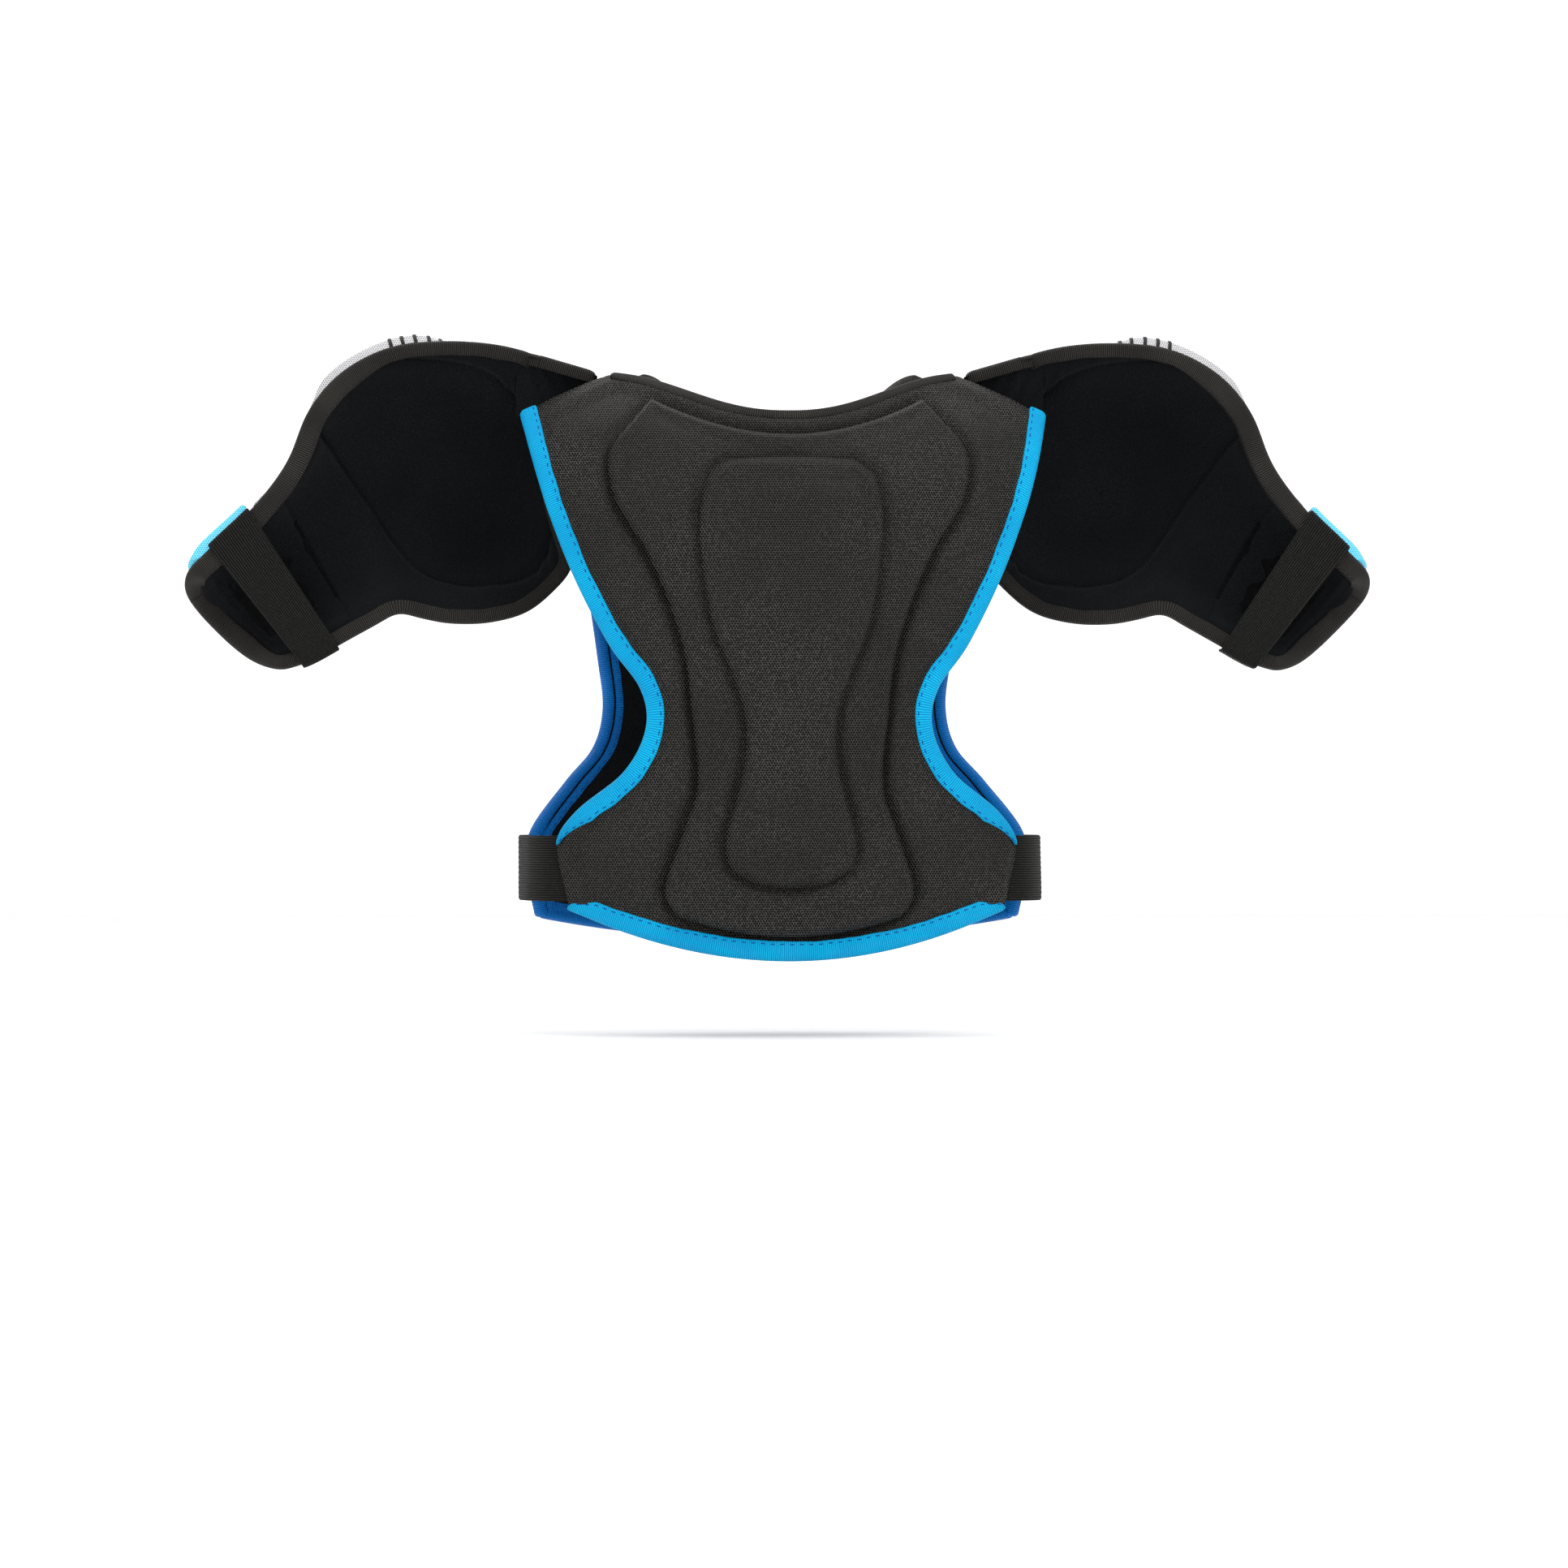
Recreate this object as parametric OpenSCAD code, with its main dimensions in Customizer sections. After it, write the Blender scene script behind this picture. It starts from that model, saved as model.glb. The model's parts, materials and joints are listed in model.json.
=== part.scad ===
// Junior ice hockey shoulder pads: a torso of sewn foam panels with two hinged, floating arm guards.
// +Z is up, -Y is the wearer's front and +X is the wearer's left.
// The origin is where the pads sit on the shoulders. Lengths are in millimetres.

/* [Back panel] */
// Half of the back panel's width at the shoulder points
shoulder_half_w = 160; // [156:1:164]
// Half of the back panel's width at its narrowest, under the arms
back_waist_half_w = 86; // [82:1:90]
// Depth of the back's curve behind the shoulder line
back_depth = 84; // [80:1:92]
// How far the middle of the back hem hangs below its corners
back_hem_drop = 31; // [20:1:34]
// Thickness of the back panel's foam
back_foam_t = 7; // [5:0.5:8]

/* [Chest panel] */
// Half of the chest panel's width at its narrowest, under the arms
chest_waist_half_w = 105; // [102:1:108]
// Half of the chest panel's width at the waist straps
chest_strap_half_w = 152; // [150:1:153]
// Depth of the chest's curve in front of the shoulder line
chest_depth = 86; // [82:1:94]
// Thickness of the chest panel's foam
chest_foam_t = 8; // [6:0.5:9]

/* [Raised pads] */
// Thickness of the wide pad on the back
yoke_pad_t = 6; // [4:0.5:7]
// Thickness of the spine pad on the wide pad
spine_pad_t = 5; // [4:0.5:6]
// Thickness of the pads on the chest
chest_pad_t = 7; // [5:0.5:9]
// Thickness of the stiff plastic plates inside the pads
plate_t = 1.5; // [1:0.25:2]

/* [Arm guards] */
// Foam thickness of the shoulder cap
cap_foam_t = 6; // [5:0.5:7]
// Foam thickness of the biceps guard
biceps_foam_t = 6; // [5:0.5:7]
// Thickness of the moulded shell in the shoulder cap
cap_shell_t = 2; // [1.5:0.25:2.5]
// Height of the oval pad on the cap's lining
cap_inner_pad_t = 4; // [3:0.5:5]

/* [Straps and edges] */
// Width of the elastic waist strap
waist_strap_w = 40; // [36:1:42]
// Thickness of the elastic
elastic_t = 1.6; // [1.2:0.2:2]
// Width of the edge binding, seen from its face
binding_w = 7; // [6:0.5:8]

/* [Hidden] */

// Gap between two layers that lie on each other
gap = 0.3;
// Gap between two curved layers whose facets differ
curved_gap = 0.8;
lining_t = 1.5;
cover_t = 1.5;
binding_inset = binding_w + gap;

// Each outline row is [half width, height], from the hem's corner up to the shoulder point.
back_edge = [
    [131, -322], [138, -284], [127, -262], [99, -238], [back_waist_half_w, -212],
    [89, -188], [108, -160], [130, -115], [149, -62], [shoulder_half_w, -23]
];
chest_edge = [
    [147, -328], [chest_strap_half_w, -300], [150, -274], [128, -243], [111, -222],
    [chest_waist_half_w, -198], [108, -168], [116, -115], [127, -65], [138, -20]
];
// The wide pad and the spine pad on the back, from bottom to top
yoke_pad_edge = [
    [66, -326], [74, -309], [63, -273], [55, -246], [58, -205], [64, -160],
    [82, -110], [103, -72], [107, -53], [98, -32], [84, -22]
];
spine_pad_edge = [
    [22, -305], [35, -296], [38, -280], [33, -258], [27, -230], [27, -205], [34, -180],
    [46, -147], [52, -107], [53, -80], [48, -62], [36, -54]
];
// The pads on the chest, from bottom to top
sternum_pad_edge = [[16, -215], [27, -205], [34, -170], [38, -130], [34, -100], [24, -88]];
chest_pad_x = 75;
chest_pad_edge = [
    [16, -195], [25, -185], [29, -160], [31, -125], [33, -95], [28, -72], [18, -64]
];

// Spread of the rib data below: where each cross-section of the arm guard starts and ends.
// [upper x, y, z, lower x, y, z, depth of the hollow, outward bow]
ribs = [
    [146, -6, 18, 124, -12, -110, 26, 6],
    [175, 0, 25, 152, -6, -137, 44, 0],
    [208, 3, 27, 178, -2, -146, 54, 0],
    [242, 4, 23, 203, 0, -147, 56, 0],
    [272, 4, 7, 221, 2, -144, 50, 0],
    [292, 3, -17, 236, 2, -141, 42, 0],
    [304, 2, -47, 250, 0, -148, 36, 0],
    [324, 0, -74, 270, -2, -159, 32, 0],
    [348, -3, -97, 292, -4, -171, 30, 0],
    [371, -6, -119, 313, -6, -177, 28, 7]
];
// Direction from the shoulder to the elbow, seen from the front
arm_axis = [0.923, 0, -0.385];
// Where the shoulder cap ends and the biceps guard starts, along the ribs
cap_end = 5.55;
biceps_start = 5.85;
biceps_end = 9;

// Height of the shoulder line over the seat beside the neck, and the share of the width it is at
neck_rise = 24;
neck_share = 0.6;
chest_neck_drop = 42;
chest_hem_drop = 15;
lateral_curve = 0.0018;
shoulder_roll = 60;

// --- shared geometry ---

function unit(v) = v / norm(v);
function steps(a, b, n) = [for (i = [0:n]) a + (b - a) * i / n];

// A smooth curve through rows of numbers: t runs from 0 to the last row's number.
function spline(rows, t) =
    let (
        last = len(rows) - 1,
        i = min(max(floor(t), 0), last - 1),
        f = t - i,
        a = rows[max(i - 1, 0)],
        b = rows[i],
        c = rows[i + 1],
        d = rows[min(i + 2, last)]
    )
    0.5 * (2 * b + (c - a) * f + (2 * a - 5 * b + 4 * c - d) * f * f
        + (3 * b - a - 3 * c + d) * f * f * f);

// The outward normal of a surface, where surface is [function of u and v, outward direction].
function normal_at(surface, u, v) =
    let (
        e = 0.004,
        f = surface[0],
        n = unit(cross(f(u + e, v) - f(u - e, v), f(u, v + e) - f(u, v - e)))
    )
    n * surface[1] >= 0 ? n : -n;

function raised(surface, u, v, d) = surface[0](u, v) + normal_at(surface, u, v) * d;

function signed_volume(points, faces) =
    let (parts = [for (f = faces) points[f[0]] * cross(points[f[1]], points[f[2]])])
    parts * [for (p = parts) 1];

function reversed(f) = [f[0], f[2], f[1]];

// A closed solid of triangles, turned the right way out.
module closed(points, faces) {
    inside_out = signed_volume(points, faces) > 0;
    polyhedron(points, inside_out ? [for (f = faces) reversed(f)] : faces, convexity = 8);
}

function quad(a, b, c, d) = [[a, b, c], [a, c, d]];

// A layer of a surface between two heights over it, on a grid of u and v values.
module layer(surface, us, vs, low, high) {
    nu = len(us);
    nv = len(vs);
    points = [for (d = [low, high], u = us, v = vs) raised(surface, u, v, d)];
    function at(k, i, j) = (k * nu + i) * nv + j;
    sheets = [
        for (i = [0:nu - 2], j = [0:nv - 2], k = [0, 1])
            each quad(at(k, i, j), at(k, i + k, j + 1 - k), at(k, i + 1, j + 1), at(k, i + 1 - k, j + k))
    ];
    u_sides = [
        for (i = [0:nu - 2])
            each concat(
                quad(at(0, i, 0), at(0, i + 1, 0), at(1, i + 1, 0), at(1, i, 0)),
                quad(at(1, i, nv - 1), at(1, i + 1, nv - 1), at(0, i + 1, nv - 1), at(0, i, nv - 1))
            )
    ];
    v_sides = [
        for (j = [0:nv - 2])
            each concat(
                quad(at(1, 0, j), at(1, 0, j + 1), at(0, 0, j + 1), at(0, 0, j)),
                quad(at(0, nu - 1, j), at(0, nu - 1, j + 1), at(1, nu - 1, j + 1), at(1, nu - 1, j))
            )
    ];
    closed(points, concat(sheets, u_sides, v_sides));
}

// An oval bar along points, where each normal is the way the bar's height points.
module bar(points, normals, half_width, half_height, sides = 8) {
    n = len(points);
    rings = [
        for (i = [0:n - 1])
            let (
                along = unit(points[min(i + 1, n - 1)] - points[max(i - 1, 0)]),
                across = unit(cross(along, normals[i])),
                up = cross(across, along)
            )
            for (k = [0:sides - 1])
                points[i] + across * half_width * cos(360 * k / sides)
                    + up * half_height * sin(360 * k / sides)
    ];
    skin = [
        for (i = [0:n - 2], k = [0:sides - 1])
            let (m = (k + 1) % sides)
            each quad(i * sides + k, i * sides + m, (i + 1) * sides + m, (i + 1) * sides + k)
    ];
    start = [for (k = [1:sides - 2]) [0, k + 1, k]];
    end = [for (k = [1:sides - 2]) [(n - 1) * sides, (n - 1) * sides + k, (n - 1) * sides + k + 1]];
    closed(rings, concat(skin, start, end));
}

// A bar along a surface's edge: each of uvs is [u, v], and the bar is centred that far over the surface.
module edge_bar(surface, uvs, height, half_height) {
    bar(
        [for (p = uvs) raised(surface, p[0], p[1], height)],
        [for (p = uvs) normal_at(surface, p[0], p[1])],
        binding_w / 2,
        half_height
    );
}

module mirrored(right) {
    if (right)
        mirror([1, 0, 0]) children();
    else
        children();
}

// --- the torso's surfaces ---

// Distance of the back's and the chest's inner face from the shoulder line, at a place seen from behind
function torso_depth(depth, x, z) =
    depth - shoulder_roll * pow(max(0, (z + 76) / 80), 2) - 10 * pow(max(0, (-76 - z) / 280), 2)
        - lateral_curve * x * x;

// How far the top edge rises above the shoulder points, for v from -1 to 1 across
function top_rise(v, drop) =
    let (a = abs(v))
    a > neck_share
        ? neck_rise * (1 - a) / (1 - neck_share)
        : (neck_rise - drop) * pow(sin(90 * a / neck_share), 2.4) + drop;

// A panel between its two side edges: u runs from the hem (0) to the top (1), v from -1 to 1.
// It stays inset from its outline, except at the top of the shoulders when a yoke is sewn on there.
function panel_surface(edge, depth, side, hem_drop, neck_drop, inset, yoke_sewn) = [
    function (u, v)
        let (
            rows = len(edge) - 1,
            e = spline(edge, u * rows),
            along = unit(spline(edge, u * rows + 0.02) - spline(edge, u * rows - 0.02)),
            low = pow(max(0, 1 - u / 0.35), 2),
            high = pow(max(0, (u - 0.5) / 0.5), 2),
            x = v * (e[0] - inset * along[1]),
            slope = (top_rise(v + 0.01, neck_drop) - top_rise(v - 0.01, neck_drop)) / (0.02 * e[0]),
            top_inset = yoke_sewn && abs(v) > neck_share + 0.1 ? 0 : inset * norm([1, slope]),
            z = e[1] + inset * along[0] * pow(v, 6)
                + low * (inset - hem_drop * (1 - v * v))
                + high * (top_rise(v, neck_drop) - top_inset)
        )
        [x, side * torso_depth(depth, x, z), z],
    [0, side, 0]
];

// A raised pad between its own side edges, on the same curved face as the panel
function pad_surface(edge, depth, side, centre_x, bottom_drop, top_drop) = [
    function (u, v)
        let (
            e = spline(edge, u * (len(edge) - 1)),
            x = centre_x + v * e[0],
            z = e[1] - (bottom_drop * pow(max(0, 1 - u / 0.3), 2)
                + top_drop * pow(max(0, (u - 0.6) / 0.4), 2)) * (1 - v * v)
        )
        [x, side * torso_depth(depth, x, z), z],
    [0, side, 0]
];

function back_surface(inset) =
    panel_surface(back_edge, back_depth, 1, back_hem_drop, 0, inset, true);
function chest_surface(inset) =
    panel_surface(chest_edge, chest_depth, -1, chest_hem_drop, -chest_neck_drop, inset, false);

yoke_pad_surface = pad_surface(yoke_pad_edge, back_depth, 1, 0, 12, 16);
spine_pad_surface = pad_surface(spine_pad_edge, back_depth, 1, 0, 3, -1);
sternum_pad_surface = pad_surface(sternum_pad_edge, chest_depth, -1, 0, 6, 0);
chest_pad_surface = pad_surface(chest_pad_edge, chest_depth, -1, chest_pad_x, 3, -2);

panel_us = steps(0, 1, 18);
panel_vs = [
    for (v = [-1, -0.86, -0.71, -0.69, -0.56, -0.42, -0.28, -0.14]) v,
    for (v = [0, 0.14, 0.28, 0.42, 0.56, 0.69, 0.71, 0.86, 1]) v
];

// --- back ---

module back_lining() {
    color("dimgray") layer(back_surface(binding_inset), panel_us, panel_vs, 0, lining_t);
}

back_face = lining_t + gap + back_foam_t;

module back_panel() {
    color([0.06, 0.06, 0.06])
        layer(back_surface(binding_inset), panel_us, panel_vs, lining_t + gap, back_face);
}

module back_yoke_pad() {
    color([0.08, 0.08, 0.08])
        layer(yoke_pad_surface, steps(0, 1, 15), steps(-1, 1, 8),
            back_face + curved_gap, back_face + curved_gap + yoke_pad_t);
}

yoke_face = back_face + curved_gap + yoke_pad_t;

module spine_plate() {
    color("ivory")
        layer(spine_pad_surface, steps(0.12, 0.9, 9), steps(-0.75, 0.75, 4),
            yoke_face + curved_gap, yoke_face + curved_gap + plate_t);
}

module spine_pad() {
    base = yoke_face + 2 * curved_gap + plate_t;
    color([0.1, 0.1, 0.1])
        layer(spine_pad_surface, steps(0, 1, 12), steps(-1, 1, 6), base, base + spine_pad_t);
}

binding_height = back_face / 2;

module back_binding(right) {
    color("deepskyblue") mirrored(right)
        edge_bar(back_surface(binding_w / 2), [for (i = [3:18]) [panel_us[i], 1]],
            binding_height, back_face / 2 + 1);
}

module back_hem_binding() {
    color("deepskyblue")
        edge_bar(back_surface(binding_w / 2), [for (v = panel_vs) [0, v]],
            binding_height, back_face / 2 + 1);
}

// It runs on over both yokes, as far as the fold at the chest.
module back_neck_binding() {
    neck_vs = steps(0.6, -0.6, 16);
    neck = back_surface(binding_w / 2);
    over_yoke = [for (u = [0.8, 0.62, 0.44, 0.26, 0.1]) raised(yoke_surface, u, 0.04, yoke_t / 2)];
    behind = [for (v = neck_vs) raised(neck, 1, v, binding_height)];
    flipped = [for (i = [4:-1:0]) [-over_yoke[i][0], over_yoke[i][1], over_yoke[i][2]]];
    up = [for (i = [0:4]) [0, 0, 1]];
    color([0.05, 0.05, 0.05])
        bar(
            concat(over_yoke, behind, flipped),
            concat(up, [for (v = neck_vs) normal_at(neck, 1, v)], up),
            binding_w / 2,
            back_face / 2 + 0.5
        );
}

// --- shoulder yokes ---

yoke_t = 7;
yoke_arch = 7;
// The saddle over the shoulder, from the back panel's top edge (u = 0) to the chest's (u = 1), v outwards
yoke_surface = [
    function (u, v)
        let (
            share = neck_share + 0.01 + v * (0.95 - neck_share),
            back = back_surface(0)[0](1, share),
            chest = chest_surface(0)[0](1, share)
        )
        back + (chest - back) * u + [0, 0, yoke_arch * 4 * u * (1 - u)],
    [0, 0, 1]
];
// Where the yoke ends, short of the panels' edges: a sewn edge at the back, and room to fold at the chest
yoke_us = steps(0.06, 0.84, 8);

module shoulder_yoke(right) {
    color([0.05, 0.05, 0.05]) mirrored(right)
        layer(yoke_surface, yoke_us, steps(0.16, 1, 5), 0, yoke_t);
}

// --- waist straps ---

waist_strap_z = -297;

// The elastic's path round the side, seen from above
waist_path = [
    [132.5, 50], [146, 44], [155, 28], [159, 6], [160.5, -18], [159.7, -38], [157, -52], [151.8, -57.8]
];

module waist_elastic(right) {
    points = [for (t = steps(0, len(waist_path) - 1, 24)) spline(waist_path, t)];
    color([0.07, 0.07, 0.07]) mirrored(right)
        translate([0, 0, waist_strap_z - waist_strap_w / 2])
        linear_extrude(waist_strap_w)
        polygon(concat(
            [for (i = [0:24]) points[i] + side_step(points, i) * elastic_t / 2],
            [for (i = [24:-1:0]) points[i] - side_step(points, i) * elastic_t / 2]
        ));
}

function side_step(points, i) =
    let (d = unit(points[min(i + 1, len(points) - 1)] - points[max(i - 1, 0)]))
    [d[1], -d[0]];

// --- chest ---

chest_face = lining_t + gap + chest_foam_t;
// How much of the chest's hem its binding covers, between the two side bindings
hem_share = 0.94;

module chest_lining() {
    color("dimgray") layer(chest_surface(binding_inset), panel_us, panel_vs, 0, lining_t);
}

module chest_panel() {
    color([0.07, 0.07, 0.07])
        layer(chest_surface(binding_inset), panel_us, panel_vs, lining_t + gap, chest_face);
}

module sternum_plate() {
    color("ivory")
        layer(sternum_pad_surface, steps(0.15, 0.85, 5), steps(-0.7, 0.7, 3),
            chest_face + curved_gap, chest_face + curved_gap + plate_t);
}

module sternum_pad() {
    base = chest_face + 2 * curved_gap + plate_t;
    color("black")
        layer(sternum_pad_surface, steps(0, 1, 8), steps(-1, 1, 5), base, base + chest_pad_t);
}

module chest_pad(right) {
    color("whitesmoke") mirrored(right)
        layer(chest_pad_surface, steps(0, 1, 9), steps(-1, 1, 6),
            chest_face + curved_gap, chest_face + curved_gap + chest_pad_t);
}

module chest_binding(right) {
    color("royalblue") mirrored(right)
        edge_bar(chest_surface(binding_w / 2 - 0.5), [for (i = [0:17]) [panel_us[i], 1]],
            chest_face / 2, chest_face / 2 + 1);
}

module chest_hem_binding() {
    color("royalblue")
        edge_bar(chest_surface(binding_w / 2), [for (v = steps(-hem_share, hem_share, 14)) [0, v]],
            chest_face / 2, chest_face / 2 + 1);
}

module chest_neck_binding() {
    color([0.05, 0.05, 0.05])
        edge_bar(chest_surface(binding_w / 2 - 1.7), [for (v = panel_vs) [1, v]],
            chest_face / 2, chest_face / 2 + 1);
}

// The hook-and-loop fastening of the waist strap, on the front of the chest panel
patch_half_h = waist_strap_w / 2 + 2;
fastening_surface = [
    function (u, v)
        let (
            x = 84 + 58 * u,
            z = waist_strap_z + v * patch_half_h
        )
        [x, -torso_depth(chest_depth, x, z), z],
    [0, -1, 0]
];
patch_face = chest_face + curved_gap + 1.2;

module loop_patch(right) {
    color([0.12, 0.12, 0.12]) mirrored(right)
        layer(fastening_surface, steps(0, 0.95, 6), [-1, 0, 1], chest_face + curved_gap, patch_face);
}

module waist_tab(right) {
    tab_share = waist_strap_w / 2 / patch_half_h;
    color([0.07, 0.07, 0.07]) mirrored(right)
        layer(fastening_surface, steps(0.15, 1, 6), [-tab_share, 0, tab_share],
            patch_face + 0.6, patch_face + 3);
}

// --- arm guards ---

// u runs along the ribs from the shoulder to the elbow, v from the upper edge (0) to the lower (1).
function arm_surface(inset) = [
    function (u, v)
        let (
            r = spline(ribs, u),
            upper = [r[0], r[1], r[2]],
            lower = [r[3], r[4], r[5]],
            side = inset / norm(upper - lower),
            w = side + v * (1 - 2 * side),
            belly = 1 - pow(abs(2 * w - 1), 2.6)
        )
        upper + (lower - upper) * w + arm_axis * r[7] * belly - [0, r[6] * belly, 0],
    [0, -1, 0]
];

arm_sheet = arm_surface(binding_inset + 1.2);
arm_edge = arm_surface(binding_w / 2);
// Along the ribs, how far the sheets stay inside the binding at the shoulder and at the elbow
end_inset = 0.3;
cap_us = steps(end_inset, cap_end, 9);
biceps_us = steps(biceps_start, biceps_end - end_inset, 5);
arm_vs = steps(0, 1, 10);
cap_face = lining_t + gap + cap_foam_t;
biceps_face = lining_t + gap + biceps_foam_t;

flap_t = 4;
// The flap sewn beside the neck that carries the cap: u outwards, v from the back to the front
flap_surface = [
    function (u, v)
        [112 + 29 * u, 14 - 30 * v, 10.5 + 9 * u - 3 * pow(2 * v - 1, 2)],
    [0, 0, 1]
];

module shoulder_flap(right) {
    color([0.06, 0.06, 0.06]) mirrored(right)
        layer(flap_surface, steps(0, 1, 4), steps(0, 1, 4), 0, flap_t);
}

module cap_lining(right) {
    color([0.03, 0.03, 0.03]) mirrored(right)
        layer(arm_sheet, cap_us, arm_vs, 0, lining_t);
}

// The oval pad on the lining: an ellipse drawn in the surface's own coordinates
inner_pad_surface = [
    function (u, v)
        let (
            across = pow(max(0, 1 - pow(abs(u), 2.6)), 1 / 2.6) * 0.42,
            along = 2.95 + 2.2 * u
        )
        arm_surface(0)[0](along, 0.49 + v * max(across, 0.14)),
    [0, -1, 0]
];

module cap_inner_pad(right) {
    color([0.02, 0.02, 0.02]) mirrored(right)
        layer(inner_pad_surface, steps(-1, 1, 8), steps(-1, 1, 6),
            -curved_gap - cap_inner_pad_t, -curved_gap);
}

module cap_foam(right) {
    color([0.08, 0.08, 0.08]) mirrored(right)
        layer(arm_sheet, cap_us, arm_vs, lining_t + gap, cap_face);
}

module cap_shell(right) {
    color("ivory") mirrored(right)
        layer(arm_sheet, [for (i = [2:8]) cap_us[i]], [for (j = [1:9]) arm_vs[j]],
            cap_face + gap, cap_face + gap + cap_shell_t);
}

module cap_cover(right) {
    base = cap_face + 2 * gap + cap_shell_t;
    color("whitesmoke") mirrored(right)
        layer(arm_sheet, cap_us, arm_vs, base, base + cover_t);
}

cap_top = cap_face + 2 * gap + cap_shell_t + cover_t;

module cap_binding(right) {
    upper = [for (u = steps(cap_end, 0.5, 9)) [u, 0]];
    inner = [for (v = steps(0, 1, 12)) [0.12, v]];
    lower = [for (u = steps(0.5, cap_end, 9)) [u, 1]];
    color([0.05, 0.05, 0.05]) mirrored(right)
        edge_bar(arm_edge, concat(upper, inner, lower), cap_top / 2, cap_top / 2);
}

module biceps_lining(right) {
    color([0.03, 0.03, 0.03]) mirrored(right)
        layer(arm_sheet, biceps_us, arm_vs, 0, lining_t);
}

module biceps_loop(right) {
    color([0.04, 0.04, 0.04]) mirrored(right)
        layer(arm_sheet, [for (i = [2:5]) biceps_us[i]], [for (j = [2:8]) arm_vs[j]],
            -gap - 1.2, -gap);
}

module biceps_foam(right) {
    color([0.08, 0.08, 0.08]) mirrored(right)
        layer(arm_sheet, biceps_us, arm_vs, lining_t + gap, biceps_face);
}

guard_face = biceps_face + gap + 3.5;

module biceps_guard(right) {
    color("skyblue") mirrored(right)
        layer(arm_sheet, [for (i = [0:5]) biceps_us[i]], [for (j = [0:7]) arm_vs[j]],
            biceps_face + gap, guard_face);
}

module biceps_binding(right) {
    upper = [for (u = steps(biceps_start, biceps_end - 0.4, 5)) [u, 0]];
    tip = [for (v = steps(0, 1, 12)) [biceps_end - 0.12, v]];
    lower = [for (u = steps(biceps_end - 0.4, biceps_start, 5)) [u, 1]];
    color([0.05, 0.05, 0.05]) mirrored(right)
        edge_bar(arm_edge, concat(upper, tip, lower), biceps_face / 2, biceps_face / 2 + 1);
}

// The elastic that closes the sleeve: v runs straight from the upper edge to the lower one.
strap_start = 7.15;
strap_end = 8.15;
biceps_strap_surface = [
    function (u, v)
        let (
            a = arm_surface(1)[0](u, 0),
            b = arm_surface(1)[0](u, 1),
            sag = 4 * v * (1 - v)
        )
        a + (b - a) * v + [0, 3 - 1.5 * sag, 0],
    [0, 1, 0]
];

module biceps_strap(right) {
    color([0.08, 0.08, 0.08]) mirrored(right)
        layer(biceps_strap_surface, steps(strap_start, strap_end, 3), steps(0, 1, 6), 0, elastic_t);
}

module biceps_tab(right) {
    color([0.07, 0.07, 0.07]) mirrored(right)
        layer(arm_sheet, steps(strap_start, strap_end, 2), steps(0.8, 0.97, 2),
            biceps_face + 0.8, biceps_face + 3);
}

// --- placing ---

back_lining();
back_panel();
back_yoke_pad();
spine_plate();
spine_pad();
back_binding(false);  // left_back_binding
back_binding(true);  // right_back_binding
back_hem_binding();
back_neck_binding();
shoulder_yoke(false);  // left_shoulder_yoke
shoulder_yoke(true);  // right_shoulder_yoke
waist_elastic(false);  // left_waist_elastic
waist_elastic(true);  // right_waist_elastic
chest_lining();
chest_panel();
sternum_plate();
sternum_pad();
chest_pad(false);  // left_chest_pad
chest_pad(true);  // right_chest_pad
chest_binding(false);  // left_chest_binding
chest_binding(true);  // right_chest_binding
chest_hem_binding();
chest_neck_binding();
loop_patch(false);  // left_loop_patch
loop_patch(true);  // right_loop_patch
waist_tab(false);  // left_waist_tab
waist_tab(true);  // right_waist_tab
shoulder_flap(false);  // left_shoulder_flap
shoulder_flap(true);  // right_shoulder_flap
cap_lining(false);  // left_cap_lining
cap_lining(true);  // right_cap_lining
cap_inner_pad(false);  // left_cap_inner_pad
cap_inner_pad(true);  // right_cap_inner_pad
cap_foam(false);  // left_cap_foam
cap_foam(true);  // right_cap_foam
cap_shell(false);  // left_cap_shell
cap_shell(true);  // right_cap_shell
cap_cover(false);  // left_cap_cover
cap_cover(true);  // right_cap_cover
cap_binding(false);  // left_cap_binding
cap_binding(true);  // right_cap_binding
biceps_lining(false);  // left_biceps_lining
biceps_lining(true);  // right_biceps_lining
biceps_loop(false);  // left_biceps_loop
biceps_loop(true);  // right_biceps_loop
biceps_foam(false);  // left_biceps_foam
biceps_foam(true);  // right_biceps_foam
biceps_guard(false);  // left_biceps_guard
biceps_guard(true);  // right_biceps_guard
biceps_binding(false);  // left_biceps_binding
biceps_binding(true);  // right_biceps_binding
biceps_strap(false);  // left_biceps_strap
biceps_strap(true);  // right_biceps_strap
biceps_tab(false);  // left_biceps_tab
biceps_tab(true);  // right_biceps_tab
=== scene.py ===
"""Looks of a pair of junior ice hockey shoulder pads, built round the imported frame.

The torso is two foam panels bound with tape and joined over the shoulders, and two arm guards hang from it.
Sizes in the classes are millimetres, and meshes are metres. +Z is up, -Y is the wearer's front and +X is the
wearer's left.
"""

from __future__ import annotations

import json
import logging
import math
from dataclasses import dataclass, replace
from enum import Enum

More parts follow.
